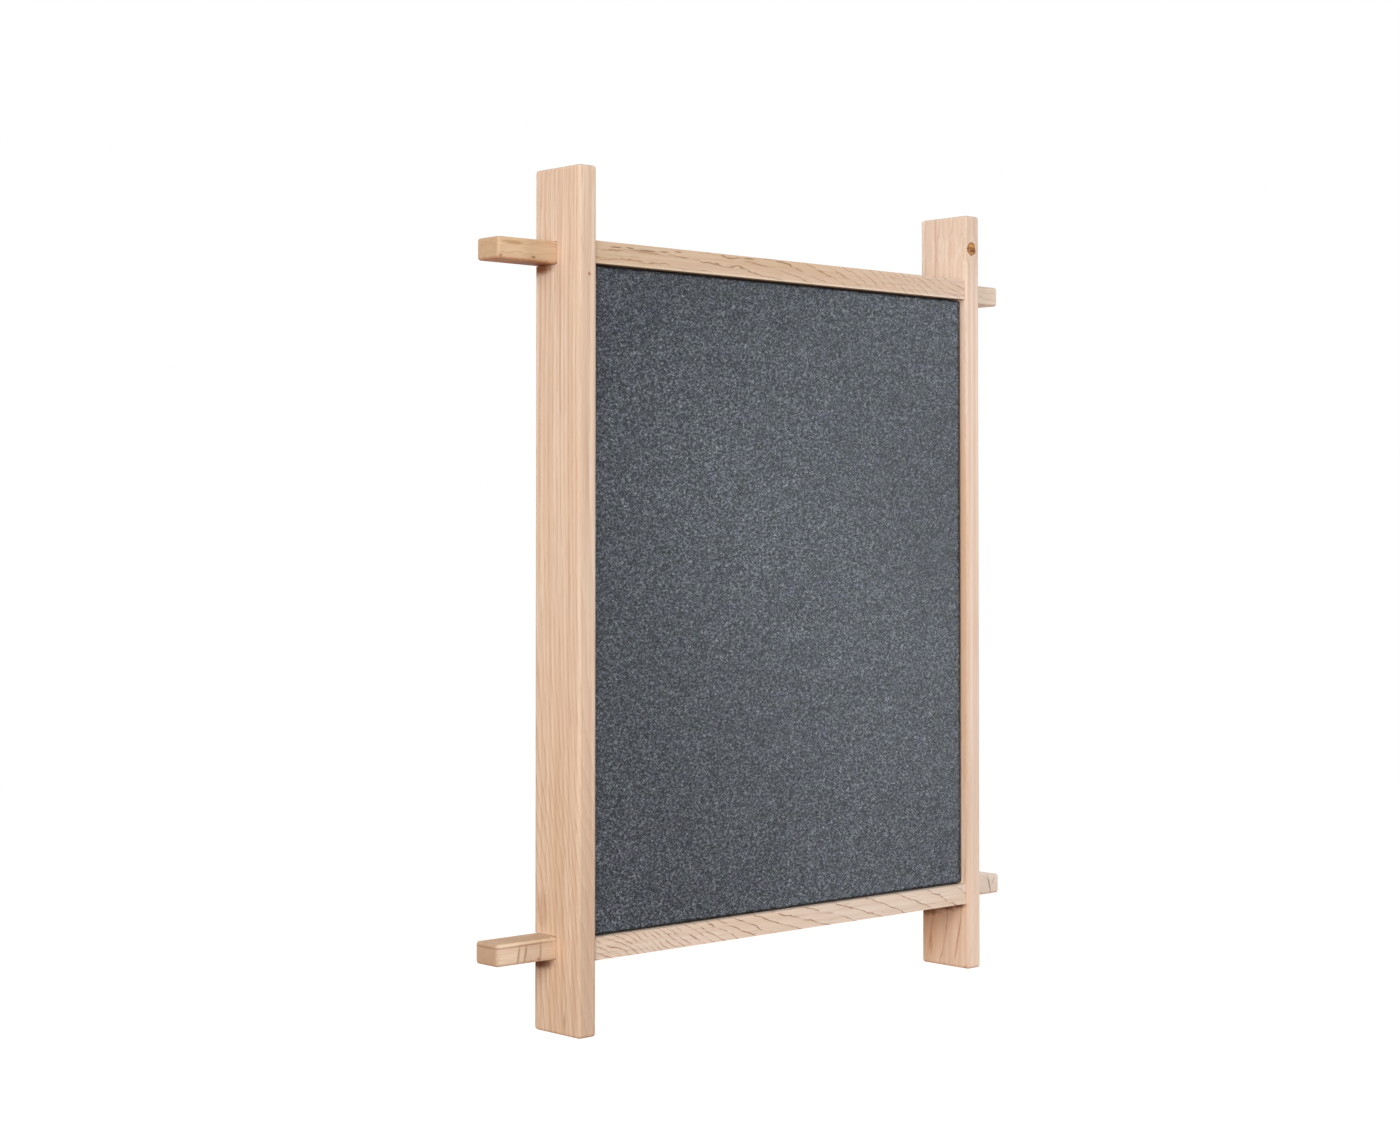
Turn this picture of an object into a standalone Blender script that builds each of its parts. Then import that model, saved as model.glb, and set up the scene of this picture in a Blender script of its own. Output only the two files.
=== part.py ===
# Pin board: a cloth-covered panel in a deep oak frame whose four boards run on past their joints.
# Metres, +Z up. X runs along the rails and Y into the wall. The origin is the middle of the back,
# in the plane of the wall.

import math

import bmesh
import bpy
from mathutils import Matrix, Vector

# Frame: clear opening, thickness of the boards, and how far each runs on past its joint
OPENING_WIDTH = 0.524
OPENING_HEIGHT = 0.630
STOCK = 0.021
OVERSHOOT = 0.070
UPRIGHT_DEPTH = 0.066
EDGE_RADIUS = 0.003

# Rails: set back from the uprights' front and back, with a tongue at the back of each end
RAIL_FRONT_SETBACK = 0.0024
RAIL_BACK_SETBACK = 0.0004
TONGUE_DEPTH = 0.032

# Clearance between neighbouring pieces, run-out of the cutting shapes, and measuring tolerance
FIT = 0.0003
OVERRUN = 0.004
TOUCH = 0.00001

# Panel, from the front: cloth, soft core, stiff backing, and the cloth turned over the back
PANEL_SETBACK = 0.0077
SHADOW_GAP = 0.0014
CLOTH_THICKNESS = 0.001
CORE_THICKNESS = 0.012
BACKING_THICKNESS = 0.006
PANEL_EDGE_RADIUS = 0.0015
CLOTH_PAST_CLEAT = 0.015

# Cleats that the panel rests against
CLEAT_WIDTH = 0.020
CLEAT_DEPTH = 0.018
CLEAT_EDGE_RADIUS = 0.001

# Staples in the turned-over cloth
STAPLE_LENGTH = 0.010
STAPLE_WIDTH = 0.0012
STAPLE_WIRE = 0.0006
STAPLE_LEG = 0.005

# Countersunk screws: cleats and panel share one gauge, joints and hangers have their own
CLEAT_SCREW_RADIUS = 0.00175
CLEAT_SCREW_HEAD_RADIUS = 0.0035
JOINT_SCREW_RADIUS = 0.00225
JOINT_SCREW_HEAD_RADIUS = 0.0044
HANGER_SCREW_RADIUS = 0.0015
HANGER_SCREW_HEAD_RADIUS = 0.0028
HANGER_SCREW_LENGTH = 0.016
SCREW_RIM = 0.0004
SCREW_TIP = 0.004

# How far a screw bites, as a share of the wood that it ends in
JOINT_SCREW_BITE_SHARE = 0.38
CLEAT_SCREW_BITE_SHARE = 0.72
PANEL_SCREW_BITE_SHARE = 0.35

# Driver recess in a screw's head, as shares of the head's radius
RECESS_REACH_SHARE = 0.55
RECESS_WIDTH_SHARE = 0.14
RECESS_DEPTH_SHARE = 0.30

# Places of the screws and staples along each side, as shares of the opening from its middle
CLEAT_SCREW_SHARES = (-0.38, 0.38)
PANEL_SCREW_SHARES = (-0.25, 0.25)
STAPLE_SHARES = (-0.42, -0.14, 0.14, 0.42)

# Dowels at the rails' shoulders
DOWEL_RADIUS = 0.004
DOWEL_IN_RAIL = 0.018
DOWEL_IN_UPRIGHT_SHARE = 0.6
DOWEL_CHAMFER = 0.0008

# Keyhole plates let into the uprights' backs, below the top rail
HANGER_DROP = 0.050
HANGER_HEIGHT = 0.046
HANGER_MARGIN = 0.004
HANGER_THICKNESS = 0.002
HANGER_CORNER_RADIUS = 0.002
HANGER_SCREW_INSET = 0.0055
KEYHOLE_WEB = 0.002
KEYHOLE_SLOT_RADIUS = 0.0025
KEYHOLE_RISE = 0.013
POCKET_EASE = 0.001
POCKET_DEPTH = 0.010

# Counts that set how fine the round shapes are, and the angle under which facets are shaded smooth
EDGE_STEPS = 4
INNER_EDGE_STEPS = 2
ROUND_STEPS = 24
SCREW_STEPS = 16
SMOOTH_ANGLE = math.radians(35)

# Colours, linear
OAK = (0.70, 0.53, 0.40)
CHARCOAL = (0.10, 0.11, 0.13)
FIBREBOARD = (0.42, 0.30, 0.19)
PLYWOOD = (0.62, 0.46, 0.29)
PINE = (0.72, 0.52, 0.30)
BEECH = (0.60, 0.40, 0.24)
ZINC = (0.58, 0.59, 0.60)

# Directions, seen from the front
RIGHT = Vector((1, 0, 0))
BACK = Vector((0, 1, 0))
UP = Vector((0, 0, 1))
SIDES = {"left": -1, "right": 1}
LEVELS = {"bottom": -1, "top": 1}

# Half sizes of the opening and of the whole frame
half_opening = OPENING_WIDTH / 2
half_clear = OPENING_HEIGHT / 2
half_width = half_opening + STOCK + OVERSHOOT
half_height = half_clear + STOCK + OVERSHOOT

# The four sides of the opening: the way each lies, the way it runs, its distance and its length
around = {
    "left": (-RIGHT, UP, half_opening, OPENING_HEIGHT),
    "right": (RIGHT, UP, half_opening, OPENING_HEIGHT),
    "bottom": (-UP, RIGHT, half_clear, OPENING_WIDTH),
    "top": (UP, RIGHT, half_clear, OPENING_WIDTH),
}

# Depths: Y is zero at the wall and falls towards the viewer
upright_front = -UPRIGHT_DEPTH
rail_front = upright_front + RAIL_FRONT_SETBACK
rail_back = -RAIL_BACK_SETBACK
tongue_front = rail_back - TONGUE_DEPTH
notch_front = tongue_front - FIT
cloth_front = upright_front + PANEL_SETBACK
core_front = cloth_front + CLOTH_THICKNESS + FIT
core_back = core_front + CORE_THICKNESS
backing_front = core_back + FIT
backing_back = backing_front + BACKING_THICKNESS
cloth_back = backing_back + FIT + CLOTH_THICKNESS
cleat_front = cloth_back + FIT
cleat_back = cleat_front + CLEAT_DEPTH
cleat_middle = (cleat_front + cleat_back) / 2

# The core and the backing inside the cloth, and the cleats' middle lines inside the opening
panel_inset = SHADOW_GAP + CLOTH_THICKNESS + FIT
panel_half_width = half_opening - panel_inset
panel_half_height = half_clear - panel_inset
cleat_line = FIT + CLEAT_WIDTH / 2
cleat_edge = FIT + CLEAT_WIDTH

# Joints: middle of a crossing, ends of the screw and of the dowel in it
shoulder = half_opening - FIT
crossing_x = half_opening + STOCK / 2
crossing_z = half_clear + STOCK / 2
joint_screw_head = rail_back - FIT
joint_screw_tip = notch_front - JOINT_SCREW_BITE_SHARE * (notch_front - upright_front)
dowel_y = (joint_screw_tip + rail_front) / 2
dowel_in_upright = DOWEL_IN_UPRIGHT_SHARE * STOCK

# Keyhole plates: middle height, half width, and the holes in them
hanger_z = half_clear - HANGER_DROP
hanger_half_width = STOCK / 2 - HANGER_MARGIN
hanger_back = -FIT
hanger_front = hanger_back - HANGER_THICKNESS
recess_front = hanger_front - FIT
hanger_screw_rise = HANGER_HEIGHT / 2 - HANGER_SCREW_INSET
entry_radius = hanger_half_width - KEYHOLE_WEB
entry_z = hanger_z - KEYHOLE_RISE / 2
slot_z = hanger_z + KEYHOLE_RISE / 2


def new_collection(name):
    made = bpy.data.collections.new(name)
    bpy.context.scene.collection.children.link(made)
    return made


def add(name, mesh, home, place=(0, 0, 0)):
    """A new object; one that only cuts is drawn as wires and left out of renders."""
    made = bpy.data.objects.new(name, mesh)
    made.location = place
    home.objects.link(made)
    if home is tools:
        made.hide_render = True
        made.display_type = "WIRE"
    return made


def mesh_of(name, shape):
    mesh = bpy.data.meshes.new(name)
    shape.to_mesh(mesh)
    shape.free()
    return mesh


def finish(mesh, colour, roughness, metallic=0.0):
    material = bpy.data.materials.new(mesh.name)
    material.use_nodes = True
    shader = material.node_tree.nodes["Principled BSDF"]
    shader.inputs["Base Color"].default_value = (*colour, 1.0)
    shader.inputs["Roughness"].default_value = roughness
    shader.inputs["Metallic"].default_value = metallic
    mesh.materials.clear()
    mesh.materials.append(material)


def box(name, corner, opposite, home):
    """A closed box between two opposite corners, with its origin at its middle."""
    corner, opposite = Vector(corner), Vector(opposite)
    size = [abs(length) for length in opposite - corner]
    shape = bmesh.new()
    bmesh.ops.create_cube(shape, size=1.0)
    bmesh.ops.scale(shape, vec=size, verts=shape.verts)
    return add(name, mesh_of(name, shape), home, (corner + opposite) / 2)


def rod(name, radius, start, end):
    """A closed cylinder from one point to another, to cut with."""
    start, end = Vector(start), Vector(end)
    run = end - start
    shape = bmesh.new()
    bmesh.ops.create_cone(
        shape, cap_ends=True, segments=ROUND_STEPS, radius1=radius, radius2=radius, depth=run.length
    )
    made = add(name, mesh_of(name, shape), tools, (start + end) / 2)
    made.rotation_euler = run.to_track_quat("Z", "Y").to_euler()
    return made


def turned(name, profile, steps):
    """A solid turned about Z from a list of radii and heights, from the top down."""
    shape = bmesh.new()
    points = [shape.verts.new((radius, 0, height)) for radius, height in profile]
    for above, below in zip(points, points[1:]):
        shape.edges.new((above, below))
    made = add(name, mesh_of(name, shape), tools)
    spin = made.modifiers.new("turned", "SCREW")
    spin.steps = spin.render_steps = steps
    spin.use_merge_vertices = True
    spin.merge_threshold = TOUCH
    return made


def round_edges(piece, radius, steps, chosen=None):
    """Rounds every sharp edge, or only those for whose two ends the rule chosen holds."""
    bevel = piece.modifiers.new("rounded_edges", "BEVEL")
    bevel.width = radius
    bevel.segments = steps
    if chosen is None:
        bevel.limit_method = "ANGLE"
        return
    mesh = piece.data
    weights = mesh.attributes.new("bevel_weight_edge", "FLOAT", "EDGE")
    for edge, weight in zip(mesh.edges, weights.data):
        ends = [mesh.vertices[index].co for index in edge.vertices]
        weight.value = float(chosen(*ends))
    bevel.limit_method = "WEIGHT"


def cut(piece, *cutters):
    for cutter in cutters:
        step = piece.modifiers.new(cutter.name, "BOOLEAN")
        step.operation = "DIFFERENCE"
        step.object = cutter


def taken_mesh(piece):
    """The mesh that a working piece's modifiers give. The working piece itself goes."""
    bpy.context.view_layer.update()
    graph = bpy.context.evaluated_depsgraph_get()
    mesh = bpy.data.meshes.new_from_object(piece.evaluated_get(graph))
    mesh.shade_smooth()
    mesh.set_sharp_from_angle(angle=SMOOTH_ANGLE)
    bpy.data.objects.remove(piece)
    return mesh


def stand(point, out, along):
    """The placement at a point whose Z looks out and whose X runs along."""
    turn = Matrix((along, out.cross(along), out)).transposed().to_4x4()
    return Matrix.Translation(point) @ turn


def along_sides(kind, shares, inset, depth, facing=None):
    """Named places along all four sides, set in from the opening. They face inwards unless told."""
    places = {}
    for side, (outward, along, reach, run) in around.items():
        for number, share in enumerate(shares, 1):
            point = outward * (reach - inset) + along * share * run + BACK * depth
            places[f"{side}_{kind}_{number}"] = stand(point, facing or -outward, along)
    return places


def add_copies(mesh, places, colour, roughness, metallic=0.0):
    """A piece of its own at each named place, all with one mesh."""
    finish(mesh, colour, roughness, metallic)
    for name, place in places.items():
        piece = add(name, mesh, parts)
        piece.matrix_world = place


def cutter_at(name, mesh, places):
    """One cutting shape that holds a copy of a mesh at each place."""
    shape = bmesh.new()
    for place in places:
        copy = mesh.copy()
        copy.transform(place)
        shape.from_mesh(copy)
        bpy.data.meshes.remove(copy)
    return add(name, mesh_of(name, shape), tools)


def screw_profile(radius, head_radius, length, grown=0.0):
    """A countersunk screw from its head's top to its tip, or the hole for it if grown."""
    top = OVERRUN if grown else 0.0
    neck = SCREW_RIM + head_radius - radius
    return [
        (0, top),
        (head_radius + grown, top),
        (head_radius + grown, -SCREW_RIM),
        (radius + grown, -neck),
        (radius + grown, SCREW_TIP - length),
        (0, -length - grown),
    ]


def screw_mesh(radius, head_radius, length):
    """A countersunk screw with a cross recess, its head's top at the origin and its tip below."""
    screw = turned("screw", screw_profile(radius, head_radius, length), SCREW_STEPS)
    reach = RECESS_REACH_SHARE * head_radius
    half = RECESS_WIDTH_SHARE * head_radius
    deep = RECESS_DEPTH_SHARE * head_radius
    bars = [
        box("recess_bar", (-wide, -high, -deep), (wide, high, OVERRUN), tools)
        for wide, high in ((reach, half), (half, reach))
    ]
    cut(screw, *bars)
    mesh = taken_mesh(screw)
    for bar in bars:
        bpy.data.objects.remove(bar)
    return mesh


def add_screws(radius, head_radius, length, places):
    """A screw at each named place, and the shape that cuts all their holes."""
    add_copies(screw_mesh(radius, head_radius, length), places, ZINC, 0.35, 1.0)
    hole = turned("hole", screw_profile(radius, head_radius, length, FIT), SCREW_STEPS)
    return cutter_at("screw_holes", taken_mesh(hole), places.values())


def make_cleat_screws():
    """Screws that run out through the cleats into the boards of the frame."""
    length = CLEAT_WIDTH + CLEAT_SCREW_BITE_SHARE * STOCK
    places = along_sides("cleat_screw", CLEAT_SCREW_SHARES, cleat_edge - FIT, cleat_middle)
    return add_screws(CLEAT_SCREW_RADIUS, CLEAT_SCREW_HEAD_RADIUS, length, places)


def make_panel_screws():
    """Screws that run forward through the cleats into the panel's backing and core."""
    head_y = cleat_back - FIT
    tip_y = core_back - PANEL_SCREW_BITE_SHARE * CORE_THICKNESS
    places = along_sides("panel_screw", PANEL_SCREW_SHARES, cleat_line, head_y, BACK)
    return add_screws(CLEAT_SCREW_RADIUS, CLEAT_SCREW_HEAD_RADIUS, head_y - tip_y, places)


def make_joint_screws():
    """Screws from the back through each tongue into the wood in front of it."""
    places = {}
    for level_name, level in LEVELS.items():
        for side_name, side in SIDES.items():
            point = (side * crossing_x, joint_screw_head, level * crossing_z)
            places[f"{level_name}_{side_name}_joint_screw"] = stand(point, BACK, RIGHT)
    length = joint_screw_head - joint_screw_tip
    return add_screws(JOINT_SCREW_RADIUS, JOINT_SCREW_HEAD_RADIUS, length, places)


def make_hanger_screws():
    """Two screws for each keyhole plate, above and below its keyhole."""
    places = {}
    for side_name, side in SIDES.items():
        for end, rise in (("lower", -hanger_screw_rise), ("upper", hanger_screw_rise)):
            point = (side * crossing_x, hanger_back, hanger_z + rise)
            places[f"{side_name}_hanger_{end}_screw"] = stand(point, BACK, RIGHT)
    return add_screws(HANGER_SCREW_RADIUS, HANGER_SCREW_HEAD_RADIUS, HANGER_SCREW_LENGTH, places)


def make_dowels():
    """A dowel across each shoulder, and the shape that cuts the holes for all four."""
    half = (dowel_in_upright + DOWEL_IN_RAIL) / 2
    profile = [
        (0, half),
        (DOWEL_RADIUS - DOWEL_CHAMFER, half),
        (DOWEL_RADIUS, half - DOWEL_CHAMFER),
        (DOWEL_RADIUS, DOWEL_CHAMFER - half),
        (DOWEL_RADIUS - DOWEL_CHAMFER, -half),
        (0, -half),
    ]
    places = {}
    for level_name, level in LEVELS.items():
        for side_name, side in SIDES.items():
            point = (side * (half_opening + dowel_in_upright - half), dowel_y, level * crossing_z)
            places[f"{level_name}_{side_name}_dowel"] = stand(point, RIGHT, UP)
    add_copies(taken_mesh(turned("dowel", profile, ROUND_STEPS)), places, BEECH, 0.7)
    radius, deep = DOWEL_RADIUS + FIT, half + FIT
    hole = turned("hole", [(0, deep), (radius, deep), (radius, -deep), (0, -deep)], ROUND_STEPS)
    return cutter_at("dowel_holes", taken_mesh(hole), places.values())


def make_staples():
    """Staples in the cloth beside the cleats, and the shapes that cut the slots for their legs."""
    half, wide = STAPLE_LENGTH / 2, STAPLE_WIDTH / 2
    inner = half - STAPLE_WIRE
    staple = box("staple", (-half, -wide, -STAPLE_LEG), (half, wide, STAPLE_WIRE), tools)
    middle = Matrix.Translation(staple.location)
    low = (-inner, -STAPLE_WIDTH, -STAPLE_LEG - OVERRUN)
    between = box("between_legs", low, (inner, STAPLE_WIDTH, 0), tools)
    cut(staple, between)
    mesh = taken_mesh(staple)
    mesh.transform(middle)
    bpy.data.objects.remove(between)
    line = cleat_edge + CLOTH_PAST_CLEAT / 2
    places = along_sides("staple", STAPLE_SHARES, line, cloth_back + FIT, BACK)
    add_copies(mesh, places, ZINC, 0.4, 1.0)
    slots = []
    for side in (-1, 1):
        corner = (side * (inner - FIT), -wide - FIT, -STAPLE_LEG - FIT)
        slot = box("leg_slot", corner, (side * (half + FIT), wide + FIT, OVERRUN), tools)
        slot.data.transform(Matrix.Translation(slot.location))
        slots.append(cutter_at("leg_slots", slot.data, places.values()))
        bpy.data.objects.remove(slot)
    return slots


def make_notches():
    """The shapes that cut both uprights' notches at each level."""
    return [
        box(
            f"{name}_notches",
            (-half_width, notch_front, level * (half_clear - FIT)),
            (half_width, OVERRUN, level * (half_clear + STOCK + FIT)),
            tools,
        )
        for name, level in LEVELS.items()
    ]


def make_hanger_seat(side_name, side):
    """The shapes that cut a keyhole plate's recess and the pocket for the wall screw's head."""
    middle = side * crossing_x
    half = hanger_half_width + FIT
    rise = HANGER_HEIGHT / 2 + FIT
    pocket_half = entry_radius + POCKET_EASE
    recess = box(
        f"{side_name}_hanger_recess",
        (middle - half, recess_front, hanger_z - rise),
        (middle + half, OVERRUN, hanger_z + rise),
        tools,
    )
    pocket = box(
        f"{side_name}_hanger_pocket",
        (middle - pocket_half, recess_front - POCKET_DEPTH, entry_z - pocket_half),
        (middle + pocket_half, OVERRUN, slot_z + pocket_half),
        tools,
    )
    return recess, pocket


def make_upright(side_name, side, cutters):
    piece = box(
        f"{side_name}_upright",
        (side * half_opening, upright_front, -half_height),
        (side * (half_opening + STOCK), 0, half_height),
        parts,
    )
    round_edges(piece, EDGE_RADIUS, EDGE_STEPS)
    cut(piece, *cutters, *make_hanger_seat(side_name, side))
    finish(piece.data, OAK, 0.6)


def make_rail(level_name, level, cutters):
    """A board on edge whose front half is cut away at both ends, leaving tongues at the back."""
    name = f"{level_name}_rail"
    near, far = level * half_clear, level * (half_clear + STOCK)
    blank = box(name, (-half_width, rail_front, near), (half_width, rail_back, far), tools)
    corners = [
        box(
            "corner",
            (side * shoulder, rail_front - OVERRUN, near - level * OVERRUN),
            (side * (half_width + OVERRUN), tongue_front, far + level * OVERRUN),
            tools,
        )
        for side in SIDES.values()
    ]
    place = blank.location.copy()
    cut(blank, *corners)
    piece = add(name, taken_mesh(blank), parts, place)
    for corner in corners:
        bpy.data.objects.remove(corner)

    def at_shoulder(point):
        return abs(abs(point.x) - shoulder) < TOUCH

    def rounded(start, end):
        return not (at_shoulder(start) and at_shoulder(end))

    round_edges(piece, EDGE_RADIUS, EDGE_STEPS, rounded)
    cut(piece, *cutters)
    finish(piece.data, OAK, 0.6)


def make_cleats(cutters):
    """Top and bottom cleats across the whole opening, side cleats between them."""
    for side, (outward, along, reach, run) in around.items():
        end_room = FIT if along is RIGHT else cleat_edge + FIT
        half_run = along * (run / 2 - end_room)
        piece = box(
            f"{side}_cleat",
            outward * (reach - FIT) - half_run + BACK * cleat_front,
            outward * (reach - cleat_edge) + half_run + BACK * cleat_back,
            parts,
        )
        round_edges(piece, CLEAT_EDGE_RADIUS, INNER_EDGE_STEPS)
        cut(piece, *cutters)
        finish(piece.data, PINE, 0.7)


def make_panel(screw_holes, staple_slots):
    """The soft core with the stiff backing behind it."""
    for name, front, back, colour, cutters in (
        ("pin_core", core_front, core_back, FIBREBOARD, [screw_holes]),
        ("backing_board", backing_front, backing_back, PLYWOOD, [screw_holes, *staple_slots]),
    ):
        piece = box(
            name,
            (-panel_half_width, front, -panel_half_height),
            (panel_half_width, back, panel_half_height),
            parts,
        )
        round_edges(piece, PANEL_EDGE_RADIUS, INNER_EDGE_STEPS)
        cut(piece, *cutters)
        finish(piece.data, colour, 0.9)


def make_fabric_cover(screw_holes, staple_slots):
    """Cloth over the panel's front and edges, turned over onto its back as a flat border."""
    wide = panel_half_width + FIT
    high = panel_half_height + FIT
    piece = box(
        "fabric_cover", (-wide, core_front - FIT, -high), (wide, backing_back + FIT, high), parts
    )
    turned_in = cleat_edge + CLOTH_PAST_CLEAT - (half_opening - wide)
    shape = bmesh.new()
    shape.from_mesh(piece.data)
    back = max(shape.faces, key=lambda face: face.calc_center_median().y)
    bmesh.ops.inset_individual(shape, faces=[back], thickness=turned_in)
    bmesh.ops.delete(shape, geom=[back], context="FACES")
    shape.to_mesh(piece.data)
    shape.free()
    round_edges(piece, PANEL_EDGE_RADIUS + FIT, EDGE_STEPS)
    skin = piece.modifiers.new("cloth", "SOLIDIFY")
    skin.thickness = CLOTH_THICKNESS
    skin.offset = 1.0
    skin.use_even_offset = True
    cut(piece, screw_holes, *staple_slots)
    finish(piece.data, CHARCOAL, 0.95)


def make_hanger_plate(side_name, side, screw_holes):
    """A steel plate with a keyhole: a round entry below and a slot above it."""
    middle = side * crossing_x
    piece = box(
        f"{side_name}_hanger_plate",
        (middle - hanger_half_width, hanger_front, hanger_z - HANGER_HEIGHT / 2),
        (middle + hanger_half_width, hanger_back, hanger_z + HANGER_HEIGHT / 2),
        parts,
    )

    def along_depth(start, end):
        return abs(start.y - end.y) > TOUCH

    round_edges(piece, HANGER_CORNER_RADIUS, EDGE_STEPS, along_depth)
    past_front, past_back = hanger_front - OVERRUN, hanger_back + OVERRUN
    holes = [
        rod(
            f"{side_name}_keyhole_{name}",
            radius,
            (middle, past_front, height),
            (middle, past_back, height),
        )
        for name, radius, height in (
            ("entry", entry_radius, entry_z),
            ("end", KEYHOLE_SLOT_RADIUS, slot_z),
        )
    ]
    slot = box(
        f"{side_name}_keyhole_slot",
        (middle - KEYHOLE_SLOT_RADIUS, past_front, entry_z),
        (middle + KEYHOLE_SLOT_RADIUS, past_back, slot_z),
        tools,
    )
    cut(piece, *holes, slot, screw_holes)
    finish(piece.data, ZINC, 0.35, 1.0)


for old in list(bpy.data.objects):
    bpy.data.objects.remove(old, do_unlink=True)
parts = new_collection("pin_board")
tools = new_collection("pin_board_cutters")

cleat_screw_holes = make_cleat_screws()
panel_screw_holes = make_panel_screws()
joint_screw_holes = make_joint_screws()
hanger_screw_holes = make_hanger_screws()
dowel_holes = make_dowels()
leg_slots = make_staples()
notches = make_notches()

joinery = [dowel_holes, joint_screw_holes, cleat_screw_holes]
for side_name, side in SIDES.items():
    make_upright(side_name, side, [*notches, *joinery, hanger_screw_holes])
    make_hanger_plate(side_name, side, hanger_screw_holes)
for level_name, level in LEVELS.items():
    make_rail(level_name, level, joinery)
make_cleats([cleat_screw_holes, panel_screw_holes])
make_panel(panel_screw_holes, leg_slots)
make_fabric_cover(panel_screw_holes, leg_slots)
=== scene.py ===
import math

import bmesh
import bpy
from mathutils import Matrix, Vector, noise


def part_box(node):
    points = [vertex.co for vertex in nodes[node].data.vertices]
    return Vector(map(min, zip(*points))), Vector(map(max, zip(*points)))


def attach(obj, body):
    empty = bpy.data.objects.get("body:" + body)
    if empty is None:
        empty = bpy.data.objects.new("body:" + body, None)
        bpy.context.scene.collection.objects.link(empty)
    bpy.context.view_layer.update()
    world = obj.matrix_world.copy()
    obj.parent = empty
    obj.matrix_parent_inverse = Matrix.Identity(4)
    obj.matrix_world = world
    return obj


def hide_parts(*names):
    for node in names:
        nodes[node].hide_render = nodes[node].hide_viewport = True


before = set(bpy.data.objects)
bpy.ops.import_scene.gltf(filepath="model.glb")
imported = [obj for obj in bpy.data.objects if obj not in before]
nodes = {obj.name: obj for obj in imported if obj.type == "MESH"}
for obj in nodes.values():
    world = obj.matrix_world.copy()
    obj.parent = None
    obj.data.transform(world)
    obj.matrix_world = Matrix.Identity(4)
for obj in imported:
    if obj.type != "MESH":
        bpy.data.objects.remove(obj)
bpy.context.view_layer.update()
print("frame loaded:", len(nodes), "nodes")

mm = 0.001


# sRGB hex to the linear colour that the shaders take
def linear(hexColour):
    channels = [int(hexColour[at:at + 2], 16) / 255 for at in (1, 3, 5)]
    turned = [c / 12.92 if c <= 0.04045 else ((c + 0.055) / 1.055) ** 2.4 for c in channels]
    return (*turned, 1.0)


# Adds a node. A key is one of the node's settings, an input by name or number, or a pair of inputs from
# the list; a value that is a node or a socket is linked, and a hex colour is turned to linear.
inputPairs = {"from": ("From Min", "From Max"), "to": ("To Min", "To Max"), "colours": (6, 7)}


def addNode(tree, kind, settings=None):
    node = tree.nodes.new("ShaderNode" + kind)
    for key, value in (settings or {}).items():
        if key == "stops":
            ramp = node.color_ramp.elements
            while len(ramp) < len(value):
                ramp.new(1.0)
            for stop, (position, colour) in zip(ramp, value):
                stop.position, stop.color = position, linear(colour)
        elif key == "curve":
            line = node.mapping.curves[0]
            while len(line.points) < len(value):
                line.points.new(0.5, 0.5)
            for point, (across, up) in zip(line.points, value):
                point.location = (across, up)
            node.mapping.update()
        elif isinstance(key, str) and hasattr(node, key):
            setattr(node, key, value)
        else:
            inputs = zip(inputPairs[key], value) if key in inputPairs else [(key, value)]
            for name, part in inputs:
                if isinstance(part, bpy.types.Node):
                    tree.links.new(part.outputs[0], node.inputs[name])
                elif isinstance(part, bpy.types.NodeSocket):
                    tree.links.new(part, node.inputs[name])
                else:
                    node.inputs[name].default_value = linear(part) if isinstance(part, str) else part
    return node


# A new material, its tree and its shader, with what is the same all over set on the shader
def newMaterial(name, constants):
    material = bpy.data.materials.new(name)
    material.use_nodes = True
    shader = material.node_tree.nodes["Principled BSDF"]
    for key, value in constants.items():
        shader.inputs[key].default_value = linear(value) if isinstance(value, str) else value
    return material, material.node_tree, shader


def giveMaterial(names, material):
    for name in names:
        nodes[name].data.materials.clear()
        nodes[name].data.materials.append(material)


# The board's own coordinates: across its thickness, through its depth, and along the grain
def boardCoordinates(tree, middle=(0.0, 0.0, 0.0), order=(0, 1, 2)):
    place = addNode(tree, "TexCoord").outputs["Object"]
    centred = addNode(tree, "VectorMath", {"operation": "SUBTRACT", 0: place, 1: middle})
    parts = addNode(tree, "SeparateXYZ", {0: centred})
    picked = [parts.outputs[axis] for axis in order]
    return addNode(tree, "CombineXYZ", dict(enumerate(picked)))


# Noise whose size is a pair of lengths, across and along the grain. Each seed takes it from another
# place.
seedSteps = (1.0, 0.37, 0.71)


def grainNoise(tree, local, size, seed, detail=2.0, roughness=0.5):
    across, along = size
    scale = (1 / across, 1 / across, 1 / along)
    moved = addNode(
        tree, "VectorMath", {"operation": "ADD", 0: local, 1: tuple(seed * step for step in seedSteps)}
    )
    stretched = addNode(tree, "VectorMath", {"operation": "MULTIPLY", 0: moved, 1: scale})
    return addNode(
        tree, "TexNoise", {"Vector": stretched, "Scale": 1.0, "Detail": detail, "Roughness": roughness}
    )


# How far a point is from the heart of the tree, wherever it is along the grain
def heartDistance(tree, place, heart):
    fromHeart = addNode(tree, "VectorMath", {"operation": "SUBTRACT", 0: place, 1: (*heart, 0.0)})
    flat = addNode(tree, "VectorMath", {"operation": "MULTIPLY", 0: fromHeart, 1: (1.0, 1.0, 0.0)})
    return addNode(tree, "VectorMath", {"operation": "LENGTH", 0: flat}).outputs["Value"]


# Camera: a little above the middle, turned 43 degrees to look at the left sides too, and tipped up by
# just over a degree
view = {
    "place": (-1.7568, -1.8185, 0.0584),
    "looks": (0.6802, 0.7330, 0.0226),
    "lens": 63.387,
    "sensor": 36.0,
    "shift": -0.0664,
}

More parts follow.
